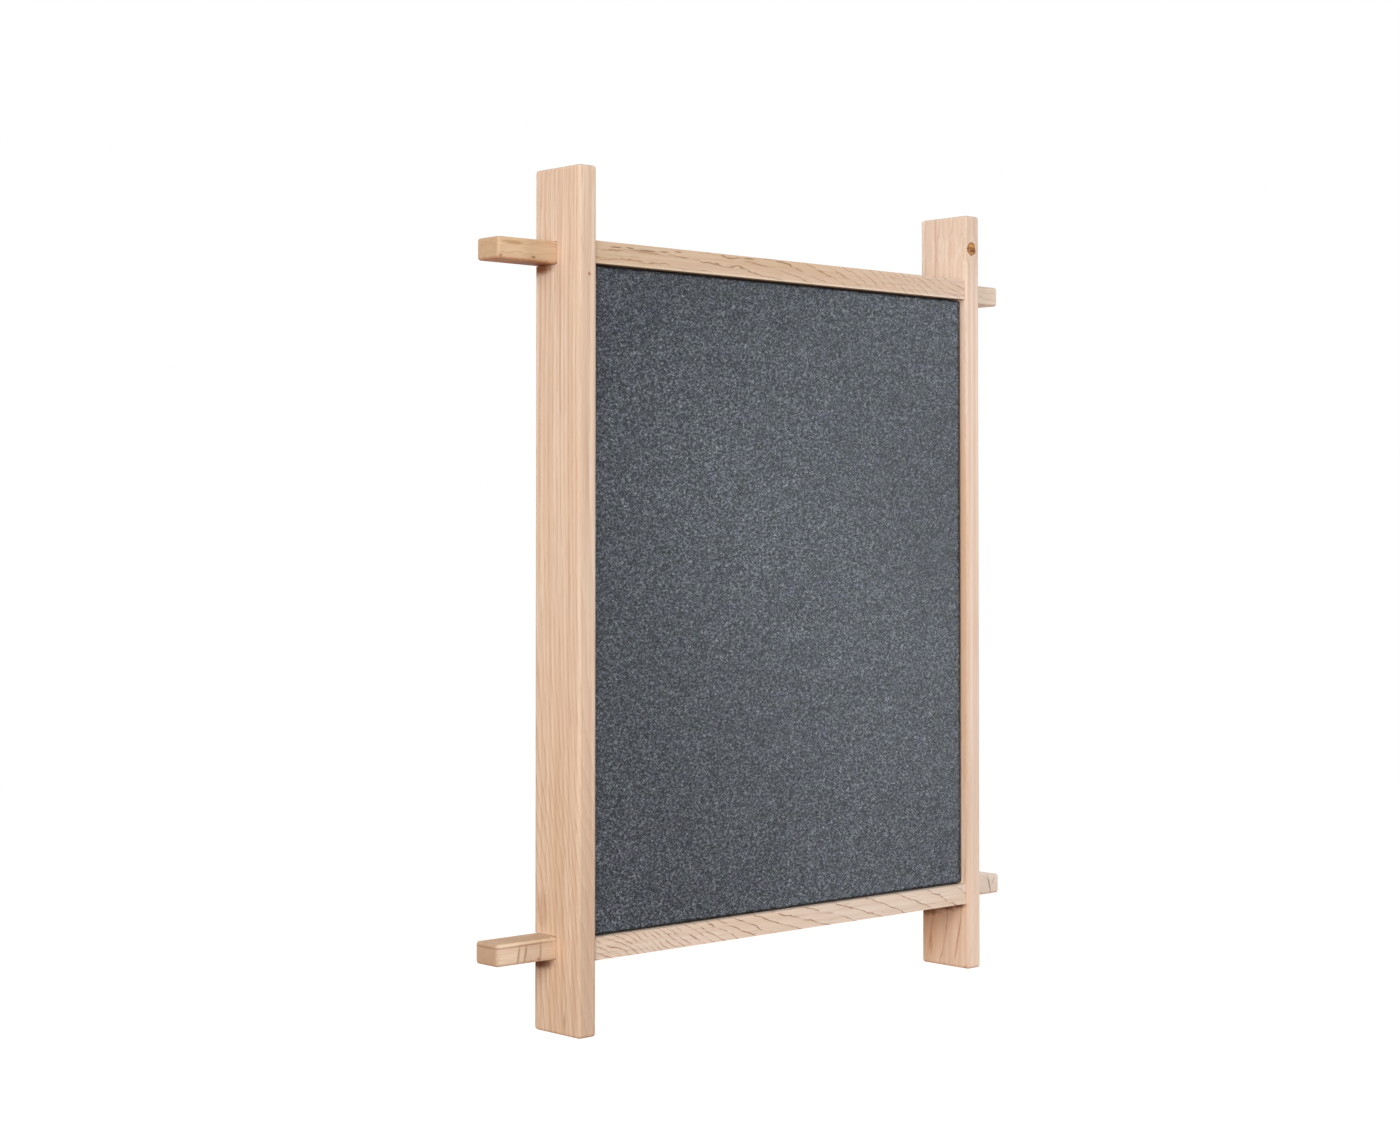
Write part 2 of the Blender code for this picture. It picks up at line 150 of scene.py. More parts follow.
cameraData = bpy.data.cameras.new("camera")
cameraData.lens = view["lens"]
cameraData.sensor_width = view["sensor"]
cameraData.shift_y = view["shift"]
camera = bpy.data.objects.new("camera", cameraData)
camera.location = view["place"]
camera.rotation_euler = Vector(view["looks"]).to_track_quat("-Z", "Y").to_euler()
bpy.context.scene.collection.objects.link(camera)
bpy.context.scene.camera = camera
bpy.context.scene.view_settings.view_transform = "Standard"
print("camera set")


# Studio: large soft lamps at the left and above, a tall narrow one at the right whose gloss shows in
# the felt, a large weak one behind for the back, and an even surround
studio = {
    "surround": "#ffffff",
    "surroundLevel": 0.35,
    "lamps": {
        "lamp_left": {"at": (-3.0, -1.3, 0.55), "size": (1.7, 1.7), "watts": 80.0, "colour": "#fefdfb"},
        "lamp_above": {"at": (-0.8, -2.4, 2.4), "size": (2.2, 2.2), "watts": 38.0, "colour": "#f2f9ff"},
        "lamp_right": {"at": (2.3, -2.2, 0.0), "size": (0.7, 1.6), "watts": 40.0, "colour": "#eff8ff"},
        "lamp_behind": {"at": (2.9, 2.0, 0.3), "size": (1.9, 3.0), "watts": 38.0, "colour": "#fefdfb"},
    },
    "aim": (0.0, 0.0, 0.0),
    "floorHeight": -1.15,
    "floorReach": 9.0,
    "floorSegments": 8,
    "floorColour": "#8a6140",
    "floorRoughness": 0.9,
    "floorGlow": 0.94,
}


# 1 for rays that only look at the background: straight from the camera, in gloss, or through glass
def backgroundRays(tree):
    path = addNode(tree, "LightPath").outputs
    seen = addNode(
        tree, "Math", {"operation": "MAXIMUM", 0: path["Is Camera Ray"], 1: path["Is Glossy Ray"]}
    )
    return addNode(tree, "Math", {"operation": "MAXIMUM", 0: seen, 1: path["Is Transmission Ray"]})


def makeStudio():
    world = bpy.data.worlds.new("surround")
    bpy.context.scene.world = world
    world.use_nodes = True
    tree = world.node_tree
    seen = backgroundRays(tree)
    level = addNode(tree, "MapRange", {"Value": seen, "to": (studio["surroundLevel"], 1.0)})
    light = tree.nodes["Background"]
    light.inputs["Color"].default_value = linear(studio["surround"])
    tree.links.new(level.outputs[0], light.inputs["Strength"])

    for name, lamp in studio["lamps"].items():
        data = bpy.data.lights.new(name, "AREA")
        data.shape = "RECTANGLE"
        data.size, data.size_y = lamp["size"]
        data.energy = lamp["watts"]
        data.color = linear(lamp["colour"])[:3]
        made = bpy.data.objects.new(name, data)
        made.location = lamp["at"]
        aim = Vector(studio["aim"]) - Vector(lamp["at"])
        made.rotation_euler = aim.to_track_quat("-Z", "Y").to_euler()
        bpy.context.scene.collection.objects.link(made)

    shape = bmesh.new()
    segments = studio["floorSegments"]
    bmesh.ops.create_grid(shape, x_segments=segments, y_segments=segments, size=studio["floorReach"])
    mesh = bpy.data.meshes.new("floor")
    shape.to_mesh(mesh)
    shape.free()
    floor = bpy.data.objects.new("floor", mesh)
    floor.location.z = studio["floorHeight"]
    bpy.context.scene.collection.objects.link(floor)
    # Rolled floor paint, matt: its tan throws warm light up at the wood. It glows white only for rays
    # that see it as background, so it meets the surround and keeps the object's shadow.
    constants = {
        "Base Color": studio["floorColour"],
        "Roughness": studio["floorRoughness"],
        "Emission Color": studio["surround"],
    }
    material, tree, shader = newMaterial("paleFloorPaint", constants)
    seen = backgroundRays(tree)
    glow = addNode(tree, "MapRange", {"Value": seen, "to": (0.0, studio["floorGlow"])})
    tree.links.new(glow.outputs[0], shader.inputs["Emission Strength"])
    mesh.materials.append(material)


makeStudio()
print("studio set")


# Oak, sawn flat, planed, sanded and soaped: pale and matt, with pink and straw stripes, dark ring lines
# on the narrow faces and open pores. Lengths are in metres, but a mark's are in millimetres. The heart
# is the middle of the tree's rings, as seen from the board's middle: across the thickness, then through
# the depth. The rings wander by up to "wander", and "run" is how many of them the saw cuts through from
# one end to the other. Curves and tones run from the board's lower or left end at 0 to its other end at
# 1, and a curve's heights are shares of the number above it. "frontShare" and "topShare" say how
# strongly ring lines show on those faces. A patch is a soft stain, a short dark ring line, or painted
# light: painted shade under the stubs and the bottom rail and on a stub's underside and top, painted
# warm bounce light, or a painted highlight along an arris. A knot is a hard mark that the grain runs
# round.
oakShader = {"IOR": 1.5, "Specular IOR Level": 0.2}
uprightLow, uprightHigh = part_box("left_upright")
railLow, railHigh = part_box("bottom_rail")
depthMiddle = uprightLow.y / 2
uprightHalf = uprightHigh.z
railHalf = railHigh.x


def inMetres(lengths):
    return tuple(length * mm for length in lengths)


# A soft mark: its place and half size across, through and along the board, how much of its colour
# shows, and how far it leans along the board as it goes across
def patch(at, size, colour, share, lean=0.0):
    return {"at": inMetres(at), "size": inMetres(size), "colour": colour, "share": share, "lean": lean}


# A sound knot in the front: its place in the board, and its half width and half height
def knotAt(at, size, core, rim):
    return {"at": inMetres(at), "size": inMetres(size), "core": core, "rim": rim}


boards = {
    "left_upright": {
        "middle": ((uprightLow.x + uprightHigh.x) / 2, depthMiddle, 0.0),
        "order": (0, 1, 2),
        "half": uprightHalf,
        "heart": (-0.045, 0.062),
        "ringsPerMetre": 205.0,
        "ringCurve": [(0.0, 0.85), (0.3, 0.95), (1.0, 1.0)],
        "run": 9.0,
        "runCurve": [(0.0, 0.04), (0.155, 0.33), (0.389, 0.93), (0.46, 0.99), (1.0, 1.0)],
        "wander": 0.0035,
        "wanderSize": (0.022, 0.17),
        "lineWidth": 0.0010,
        "lineDepth": 0.52,
        "lineCurve": [(0.0, 0.9), (0.2, 1.0), (0.4, 0.85), (1.0, 0.9)],
        "frontShare": 0.25,
        "topShare": 1.0,
        "lateShare": 0.34,
        "stripes": 0.62,
        "pale": "#f1decc",
        "dark": "#cead94",
        "warm": "#e4c5a7",
        "warmShare": 0.35,
        "line": "#b58a6b",
        "tones": [
            (0.0, "#f6f2eb"),
            (0.12, "#f7f3ec"),
            (0.25, "#faf6ef"),
            (0.5, "#fcfcfb"),
            (1.0, "#fcfbf9"),
        ],
        "knots": [knotAt((1, -33, 303.7), (1.4, 1.8), "#b98e6e", "#a87a5a")],
        "patches": [
            patch((-10.5, 20, -293), (4, 10, 22), "#b07c5a", 0.35),
            patch((-10.5, -12, -392), (4, 1.4, 10), "#8e6344", 0.5),
            patch((2, -36, -320), (30, 8, 200), "#bb9a80", 0.32),
            # Painted shade in the corner just below the lower stub
            patch((-10.5, 29, -341.5), (6, 24, 7.2), "#6a3816", 0.94),
            # Painted shade in the corner just below the upper stub
            patch((-10.5, 29, 312.6), (6, 24, 7.2), "#84461a", 0.92),
        ],
        "seed": 1.0,
    },
    "right_upright": {
        "middle": (-(uprightLow.x + uprightHigh.x) / 2, depthMiddle, 0.0),
        "order": (0, 1, 2),
        "half": uprightHalf,
        "heart": (0.045, -0.09),
        "ringsPerMetre": 62.0,
        "ringCurve": [(0.0, 1.0), (0.3, 0.9), (1.0, 0.9)],
        "run": 5.0,
        "runCurve": [(0.0, 0.0), (0.045, 0.10), (0.1, 0.16), (0.3, 0.20), (0.9, 0.22), (1.0, 0.26)],
        "wander": 0.008,
        "wanderSize": (0.03, 0.08),
        "lineWidth": 0.0016,
        "lineDepth": 0.75,
        "lineCurve": [(0.0, 1.0), (0.1, 0.9), (0.2, 0.25), (0.85, 0.22), (1.0, 0.30)],
        "frontShare": 0.25,
        "topShare": 1.0,
        "lateShare": 0.22,
        "stripes": 0.55,
        "pale": "#f6e5d4",
        "dark": "#dcbba4",
        "warm": "#ebcdb0",
        "warmShare": 0.25,
        "line": "#b58061",
        "tones": [(0.0, "#fffaf4"), (0.085, "#fffaf4"), (0.13, "#ffffff"), (1.0, "#ffffff")],
        "knots": [knotAt((-2, -33, 370.2), (6.5, 7.6), "#cf9550", "#7a4a24")],
        "patches": [
            patch((-10.5, 11, 385), (4, 1.6, 70), "#cf9c86", 0.55),
            patch((2, -36, 390), (30, 8, 70), "#c2a489", 0.35),
            patch((2, -36, -220), (30, 8, 100), "#cdb097", 0.25),
            # Painted warm shade in the back corner under the bottom rail
            patch((-10.5, 28, -350), (4, 8, 14), "#b4703f", 0.30),
            # Painted warm bounce light on the foot below the bottom rail
            patch((-10.5, 20, -370), (4, 20, 40), "#f3c49e", 0.40),
            patch((2, -36, -370), (30, 8, 60), "#ebdace", 0.40),
            patch((-10.5, 20, -385), (4, 3, 12), "#a4764f", 0.35),
            # Painted shadow: a dark wedge under the bottom rail, deepest at the back
            patch((-10.5, 26, -346), (6, 22, 9), "#6c3a12", 0.88),
            patch((-10.5, 2, -341), (6, 22, 6), "#6c3a12", 0.88),
            patch((-10.5, -16, -338), (6, 14, 4.2), "#6c3a12", 0.85),
            patch((-11.5, -27, -10), (4, 8, 340), "#d8a474", 0.50),
        ],
        "seed": 7.0,
    },
    "top_rail": {
        "middle": (0.0, depthMiddle, -(railLow.z + railHigh.z) / 2),
        "order": (2, 1, 0),
        "half": railHalf,
        "heart": (-0.3, 0.03),
        "ringsPerMetre": 150.0,
        "ringCurve": [(0.0, 0.82), (0.35, 0.74), (0.6, 0.74), (0.8, 1.0), (1.0, 1.0)],
        "run": 17.0,
        "runCurve": [(0.0, 0.0), (0.40, 0.02), (0.60, 0.22), (0.88, 0.92), (1.0, 1.0)],
        "wander": 0.0050,
        "wanderSize": (0.011, 0.021),
        "lineWidth": 0.0010,
        "lineDepth": 0.8,
        "lineCurve": [(0.0, 0.25), (0.1, 0.3), (0.16, 1.0), (0.55, 1.0), (0.70, 0.75), (1.0, 0.65)],
        "frontShare": 1.0,
        "topShare": 0.3,
        "lateShare": 0.22,
        "stripes": 0.4,
        "pale": "#eed8c3",
        "dark": "#cfae95",
        "warm": "#dcb78f",
        "warmShare": 0.3,
        "line": "#94694a",
        "tones": [
            (0.0, "#f2ebdb"),
            (0.10, "#f2ebdb"),
            (0.13, "#e8e4da"),
            (0.5, "#f2f0ea"),
            (0.88, "#fbfbfc"),
            (1.0, "#ffffff"),
        ],
        "knots": [],
        "patches": [
            patch((0, 10, 335), (30, 50, 45), "#f6e7d3", 0.45),
            # Painted highlight along the lower front arris
            patch((-10.2, -33.5, 0), (2.4, 5, 600), "#fdf0de", 0.6),
            patch((5.5, 0.6, -335), (2.4, 4, 14.5), "#a98254", 0.6),
            patch((0, 16, -354.5), (30, 40, 5), "#d2bbae", 0.50),
            # Painted warm shade on the underside of the left stub
            patch((-12, 16, -320), (4, 50, 80), "#bd7844", 0.62),
            patch((6, -30.6, -236), (0.8, 4, 8.5), "#7c5436", 0.75),
            patch((6.6, -30.6, -219), (0.8, 4, 6), "#7c5436", 0.70, -1.2),
            patch((5.6, -30.6, -197), (0.8, 4, 14), "#7c5436", 0.80),
            patch((6.2, -30.6, -175.5), (0.8, 4, 7), "#7c5436", 0.70, 1.4),
            patch((7.8, -30.6, -157), (0.8, 4, 6), "#7c5436", 0.70),
            # Painted shade along the left stub's lower back arris
            patch((-11, 26, -296), (5, 24, 34), "#7f4820", 0.80),
            patch((8.5, -30.6, -62), (1, 4, 9), "#805a3c", 0.65, -1.6),
            patch((8.5, -30.6, -19), (0.9, 4, 7), "#805a3c", 0.60, -1.6),
            patch((-6.5, 0.6, -311), (1.2, 3, 3), "#8a5c38", 0.8),
            patch((-7.5, 0.6, -350), (2, 3, 3), "#9a6a42", 0.6),
        ],
        "seed": 13.0,
    },
    "bottom_rail": {
        "middle": (0.0, depthMiddle, (railLow.z + railHigh.z) / 2),
        "order": (2, 1, 0),
        "half": railHalf,
        "heart": (-0.3, 0.03),
        "ringsPerMetre": 185.0,
        "ringCurve": [
            (0.0, 0.08),
            (0.10, 0.10),
            (0.14, 1.0),
            (0.3, 0.8),
            (0.42, 0.55),
            (0.6, 0.45),
            (0.75, 0.32),
            (1.0, 0.3),
        ],
        "run": 31.0,
        "runCurve": [
            (0.0, 0.0),
            (0.13, 0.10),
            (0.3, 0.48),
            (0.42, 0.65),
            (0.6, 0.765),
            (0.87, 0.92),
            (1.0, 1.0),
        ],
        "wander": 0.0042,
        "wanderSize": (0.012, 0.022),
        "lineWidth": 0.0010,
        "lineDepth": 0.9,
        "lineCurve": [(0.0, 0.1), (0.1, 0.15), (0.13, 1.0), (1.0, 1.0)],
        "frontShare": 1.0,
        "topShare": 0.7,
        "lateShare": 0.22,
        "stripes": 0.3,
        "pale": "#eeddcd",
        "dark": "#d2b69e",
        "warm": "#dfbf9c",
        "warmShare": 0.25,
        "line": "#986f52",
        "tones": [(0.0, "#fdf8f1"), (0.10, "#fdf8f1"), (0.13, "#ffffff"), (1.0, "#ffffff")],
        "knots": [],
        "patches": [
            patch((0, 10, 335), (30, 50, 45), "#fceadb", 0.50),
            patch((0, 16, -354.5), (30, 40, 5), "#ac8d7c", 0.50),
            # Darker tan of the left stub's top, with painted shade over it
            patch((12, 16, -320), (4, 40, 60), "#a57848", 0.56),
            patch((-2, 0.6, -327.5), (12, 6, 1.7), "#8e6a50", 0.55, 0.16),
            patch((-2, 0.6, -319.5), (12, 6, 1.7), "#8e6a50", 0.55, 0.18),
            patch((-2, 0.6, -301.5), (12, 6, 1.5), "#8e6a50", 0.45, 0.05),
            patch((6.4, 0.6, -322), (1.1, 10, 45), "#94694a", 0.55),
            patch((6.6, 18, -353), (1.2, 20, 4), "#94694a", 0.40),
            # Painted highlight along the left stub's top front arris
            patch((8.8, 0.6, -322), (1.4, 3, 45), "#f3e0c8", 0.55),
            patch((-8, 0.6, -304), (2, 4, 2), "#b5703e", 0.60),
            patch((0, 0.6, 336.5), (12, 6, 1.3), "#7d5a44", 0.70, -0.25),
            patch((4, 0.6, 343.5), (5, 6, 1), "#8a6850", 0.50, 0.60),
        ],
        "seed": 21.0,
    },
}

# A range holds the values of the noise at which a pattern starts and is full
oakGrain = {
    "stripes": (4.5 * mm, 420 * mm),
    "stripeRange": (0.30, 0.70),
    "fibres": (1.3 * mm, 70 * mm),  # real ones are finer, and are drawn as coarse as they need to show
    "fibreRange": (0.28, 0.72),
    "fibreShare": 0.30,
    "clouds": (30 * mm, 260 * mm),
    "cloudRange": (0.40, 0.66),
    "pores": (0.9 * mm, 22 * mm),  # real ones are 0.3 mm wide, too fine to show
    "poreRange": (0.60, 0.72),
    "poreShare": 0.40,
    "earlyWood": (0.65, 0.05),
    "latePores": 0.25,
    "breaks": (4 * mm, 24 * mm),
    "breakRange": (0.34, 0.60),
    "fewestRings": 50.0,
    "frontFacing": (0.2, 0.9),
    "topFacing": (0.6, 0.98),
    "endFacing": (0.5, 0.95),
    "endTone": "#f0ebe2",
    "patchEdge": (1.25, 0.35),
    "patchShake": 0.6,
    "shakeSize": (5 * mm, 5 * mm),
    "bump": 0.12 * mm,
    "bumpStrength": 0.6,
    "poreHeight": -1.6,
    "fibreHeight": 0.5,
    "roughness": (0.54, 0.70),
}
knotForm = {
    "depth": 30 * mm,
    "shake": 0.7,
    "edge": (1.08, 0.92),
    "rimRange": (0.72, 1.0),
    "swirls": (3.4 * mm, 5.0 * mm),
    "swirlRange": (0.38, 0.54),
    "pushReach": (3.0, 0.6),
    "pushShare": 0.8,
}
halfRing = 0.5


# How far a point is from a mark's middle, in the mark's own sizes, its outline shaken
def markDistance(tree, local, middle, size, seed, shake, lean=0.0):
    offset = addNode(tree, "VectorMath", {"operation": "SUBTRACT", 0: local, 1: middle})
    if lean:
        across = addNode(tree, "SeparateXYZ", {0: offset}).outputs[0]
        slip = addNode(tree, "Math", {"operation": "MULTIPLY", 0: across, 1: lean})
        slant = addNode(tree, "CombineXYZ", {2: slip})
        offset = addNode(tree, "VectorMath", {"operation": "SUBTRACT", 0: offset, 1: slant})
    sized = addNode(tree, "VectorMath", {"operation": "DIVIDE", 0: offset, 1: size})
    wobble = grainNoise(tree, local, oakGrain["shakeSize"], seed).outputs["Color"]
    shaken = addNode(
        tree, "VectorMath", {"operation": "MULTIPLY_ADD", 0: wobble, 1: (shake,) * 3, 2: sized}
    )
    evened = addNode(tree, "VectorMath", {"operation": "SUBTRACT", 0: shaken, 1: (shake / 2,) * 3})
    far = addNode(tree, "VectorMath", {"operation": "LENGTH", 0: evened})
    return offset, far.outputs["Value"]


# Ring lines: thin, broken, and never quite even
def ringLines(tree, local, share, normal, rings, perMetre, board):
    toLine = addNode(tree, "Math", {"operation": "PINGPONG", 0: rings, 1: halfRing})
    ringsHere = addNode(tree, "Math", {"operation": "MAXIMUM", 0: perMetre, 1: oakGrain["fewestRings"]})
    metres = addNode(tree, "Math", {"operation": "DIVIDE", 0: toLine, 1: ringsHere})
    lineMask = addNode(
        tree,
        "MapRange",
        {"interpolation_type": "SMOOTHSTEP", "Value": metres, "from": (board["lineWidth"], 0.0)},
    )
    breaks = grainNoise(tree, local, oakGrain["breaks"], board["seed"] + 3)
    broken = addNode(
        tree,
        "MapRange",
        {"Value": breaks, "from": oakGrain["breakRange"], "to": (0.0, board["lineDepth"])},
    )
    fading = addNode(tree, "FloatCurve", {"Value": share, "curve": board["lineCurve"]})
    faded = addNode(tree, "Math", {"operation": "MULTIPLY", 0: broken, 1: fading})
    toFront = addNode(
        tree, "VectorMath", {"operation": "DOT_PRODUCT", 0: normal, 1: (0.0, -1.0, 0.0)}
    ).outputs["Value"]
    onFront = addNode(
        tree,
        "MapRange",
        {"Value": toFront, "from": oakGrain["frontFacing"], "to": (1.0, board["frontShare"])},
    )
    frontFaded = addNode(tree, "Math", {"operation": "MULTIPLY", 0: faded, 1: onFront})
    toTop = addNode(
        tree, "VectorMath", {"operation": "DOT_PRODUCT", 0: normal, 1: (0.0, 0.0, 1.0)}
    ).outputs["Value"]
    onTop = addNode(
        tree,
        "MapRange",
        {"Value": toTop, "from": oakGrain["topFacing"], "to": (1.0, board["topShare"])},
    )
    topFaded = addNode(tree, "Math", {"operation": "MULTIPLY", 0: frontFaded, 1: onTop})
    return addNode(tree, "Math", {"operation": "MULTIPLY", 0: lineMask, 1: topFaded})


# Each pattern in a board has a seed of its own, a fixed step from the board's seed
def oakMaterial(name, board):
    material, tree, shader = newMaterial(name + "SoapedOak", oakShader)
    seed = board["seed"]
    local = boardCoordinates(tree, board["middle"], board["order"])
    along = addNode(tree, "SeparateXYZ", {0: local}).outputs[2]
    share = addNode(tree, "MapRange", {"Value": along, "from": (-board["half"], board["half"])})

    patchMasks = []
    for mark in board["patches"]:
        at, lean = mark["at"], mark["lean"]
        far = markDistance(tree, local, at, mark["size"], seed + at[2], oakGrain["patchShake"], lean)[1]
        mask = addNode(
            tree,
            "MapRange",
            {
                "interpolation_type": "SMOOTHSTEP",
                "Value": far,
                "from": oakGrain["patchEdge"],
                "to": (0.0, mark["share"]),
            },
        )
        patchMasks.append((mark, mask))

    # A knot pushes the grain round itself
    knotDistances = []
    for knot in board["knots"]:
        wide, high = knot["size"]
        size = (wide, knotForm["depth"], high)
        offset, far = markDistance(tree, local, knot["at"], size, seed + wide, knotForm["shake"])
        knotDistances.append((knot, far))
        near = addNode(
            tree,
            "MapRange",
            {
                "interpolation_type": "SMOOTHSTEP",
                "Value": far,
                "from": knotForm["pushReach"],
                "to": (0.0, knotForm["pushShare"]),
            },
        )
        squeeze = addNode(tree, "VectorMath", {"operation": "MULTIPLY", 0: offset, 1: (1.0, 0.0, 0.0)})
        push = addNode(tree, "VectorMath", {"operation": "SCALE", 0: squeeze, "Scale": near})
        local = addNode(tree, "VectorMath", {"operation": "SUBTRACT", 0: local, 1: push})

    wander = grainNoise(tree, local, board["wanderSize"], seed).outputs["Color"]
    reach = board["wander"] * 2  # the noise runs from 0 to 1
    moved = addNode(
        tree, "VectorMath", {"operation": "MULTIPLY_ADD", 0: wander, 1: (reach, reach, 0.0), 2: local}
    )
    fromHeart = heartDistance(tree, moved, board["heart"])
    offMiddle = addNode(
        tree, "Math", {"operation": "SUBTRACT", 0: fromHeart, 1: math.hypot(*board["heart"])}
    )
    closeness = addNode(tree, "FloatCurve", {"Value": share, "curve": board["ringCurve"]})
    perMetre = addNode(tree, "Math", {"operation": "MULTIPLY", 0: closeness, 1: board["ringsPerMetre"]})
    runShare = addNode(tree, "FloatCurve", {"Value": share, "curve": board["runCurve"]})
    run = addNode(tree, "Math", {"operation": "MULTIPLY", 0: runShare, 1: board["run"]})
    rings = addNode(tree, "Math", {"operation": "MULTIPLY_ADD", 0: offMiddle, 1: perMetre, 2: run})
    normal = addNode(tree, "NewGeometry").outputs["Normal"]
    lines = ringLines(tree, local, share, normal, rings, perMetre, board)

    # Late wood darkens slowly across each ring
    lateWood = addNode(tree, "Math", {"operation": "FRACT", 0: rings})
    stripes = grainNoise(tree, local, oakGrain["stripes"], seed + 5)
    fibres = grainNoise(tree, local, oakGrain["fibres"], seed + 7, detail=3.0)
    clouds = grainNoise(tree, local, oakGrain["clouds"], seed + 9)
    stripeTone = addNode(
        tree,
        "MapRange",
        {"Value": stripes, "from": oakGrain["stripeRange"], "to": (0.0, board["stripes"])},
    )
    fibreTone = addNode(
        tree,
        "MapRange",
        {"Value": fibres, "from": oakGrain["fibreRange"], "to": (0.0, oakGrain["fibreShare"])},
    )
    bothTones = addNode(tree, "Math", {"operation": "ADD", 0: stripeTone, 1: fibreTone})
    tone = addNode(
        tree,
        "Math",
        {
            "operation": "MULTIPLY_ADD",
            0: lateWood,
            1: board["lateShare"],
            2: bothTones,
            "use_clamp": True,
        },
    )
    plain = addNode(
        tree, "Mix", {"data_type": "RGBA", "Factor": tone, "colours": (board["pale"], board["dark"])}
    ).outputs[2]
    warmth = addNode(
        tree,
        "MapRange",
        {"Value": clouds, "from": oakGrain["cloudRange"], "to": (0.0, board["warmShare"])},
    )
    warmed = addNode(
        tree, "Mix", {"data_type": "RGBA", "Factor": warmth, "colours": (plain, board["warm"])}
    ).outputs[2]
    lined = addNode(
        tree, "Mix", {"data_type": "RGBA", "Factor": lines, "colours": (warmed, board["line"])}
    ).outputs[2]

    # Open pores lie in rows beside the ring lines
    pores = grainNoise(tree, local, oakGrain["pores"], seed + 11, detail=1.0)
    poreSpots = addNode(
        tree,
        "MapRange",
        {"Value": pores, "from": oakGrain["poreRange"], "to": (0.0, oakGrain["poreShare"])},
    )
    earlyWood = addNode(
        tree,
        "MapRange",
        {"Value": lateWood, "from": oakGrain["earlyWood"], "to": (oakGrain["latePores"], 1.0)},
    )
    poreMask = addNode(tree, "Math", {"operation": "MULTIPLY", 0: poreSpots, 1: earlyWood})
    colour = addNode(
        tree, "Mix", {"data_type": "RGBA", "Factor": poreMask, "colours": (lined, board["line"])}
    ).outputs[2]

    for mark, mask in patchMasks:
        colour = addNode(
            tree, "Mix", {"data_type": "RGBA", "Factor": mask, "colours": (colour, mark["colour"])}
        ).outputs[2]

    for knot, far in knotDistances:
        body = addNode(
            tree,
            "MapRange",
            {"interpolation_type": "SMOOTHSTEP", "Value": far, "from": knotForm["edge"]},
        )
        swirl = grainNoise(tree, local, knotForm["swirls"], seed + 15)
        dark = addNode(tree, "MapRange", {"Value": swirl, "from": knotForm["swirlRange"]})
        rimMask = addNode(
            tree,
            "MapRange",
            {"interpolation_type": "SMOOTHSTEP", "Value": far, "from": knotForm["rimRange"]},
        )
        rim = addNode(tree, "Math", {"operation": "MAXIMUM", 0: dark, 1: rimMask})
        knotColour = addNode(
            tree, "Mix", {"data_type": "RGBA", "Factor": rim, "colours": (knot["core"], knot["rim"])}
        ).outputs[2]
        colour = addNode(
            tree, "Mix", {"data_type": "RGBA", "Factor": body, "colours": (colour, knotColour)}
        ).outputs[2]

    # The colour is multiplied by tones that change along the board, warmer or darker towards some ends
    tones = addNode(tree, "ValToRGB", {"Fac": share, "stops": board["tones"]})
    toned = addNode(
        tree,
        "Mix",
        {"data_type": "RGBA", "blend_type": "MULTIPLY", "Factor": 1.0, "colours": (colour, tones)},
    ).outputs[2]

    # End grain drinks more soap and looks darker
    alongAxis = [0.0, 0.0, 0.0]
    alongAxis[board["order"][2]] = 1.0
    toEnd = addNode(
        tree, "VectorMath", {"operation": "DOT_PRODUCT", 0: normal, 1: alongAxis}
    ).outputs["Value"]
    endFacing = addNode(tree, "Math", {"operation": "ABSOLUTE", 0: toEnd})
    endMask = addNode(
        tree,
        "MapRange",
        {"interpolation_type": "SMOOTHSTEP", "Value": endFacing, "from": oakGrain["endFacing"]},
    )
    ended = addNode(
        tree,
        "Mix",
        {
            "data_type": "RGBA",
            "blend_type": "MULTIPLY",
            "Factor": endMask,
            "colours": (toned, oakGrain["endTone"]),
        },
    ).outputs[2]
    tree.links.new(ended, shader.inputs["Base Color"])

    poreHeight = addNode(
        tree, "Math", {"operation": "MULTIPLY", 0: poreMask, 1: oakGrain["poreHeight"]}
    )
    height = addNode(
        tree,
        "Math",
        {"operation": "MULTIPLY_ADD", 0: fibres, 1: oakGrain["fibreHeight"], 2: poreHeight},
    )
    bump = addNode(
        tree,
        "Bump",
        {"Strength": oakGrain["bumpStrength"], "Distance": oakGrain["bump"], "Height": height},
    )
    tree.links.new(bump.outputs[0], shader.inputs["Normal"])
    matte = addNode(tree, "MapRange", {"Value": fibres, "to": oakGrain["roughness"]})
    tree.links.new(matte.outputs[0], shader.inputs["Roughness"])
    return material


for name, board in boards.items():
    giveMaterial([name], oakMaterial(name, board))
print("oak boards finished")


# Pine battens, planed: yellow wood with wide, clear summer bands
pine = {
    "bands": [(0.12, "#e8cfa0"), (0.62, "#dcb67c"), (0.98, "#c99a5c"), (1.0, "#e8cfa0")],
    "ringsPerMetre": 260.0,
    "heart": (0.05, 0.035),
    "wander": 12 * mm,
    "wanderSize": (30 * mm, 240 * mm),
    "fibres": (0.8 * mm, 50 * mm),
    "fibreShare": 0.25,
    "bump": 0.1 * mm,
    "bumpStrength": 0.4,
    "seeds": {"top_cleat": 31.0, "bottom_cleat": 32.0, "left_cleat": 33.0, "right_cleat": 34.0},
    "shader": {"Roughness": 0.6, "IOR": 1.5},
}


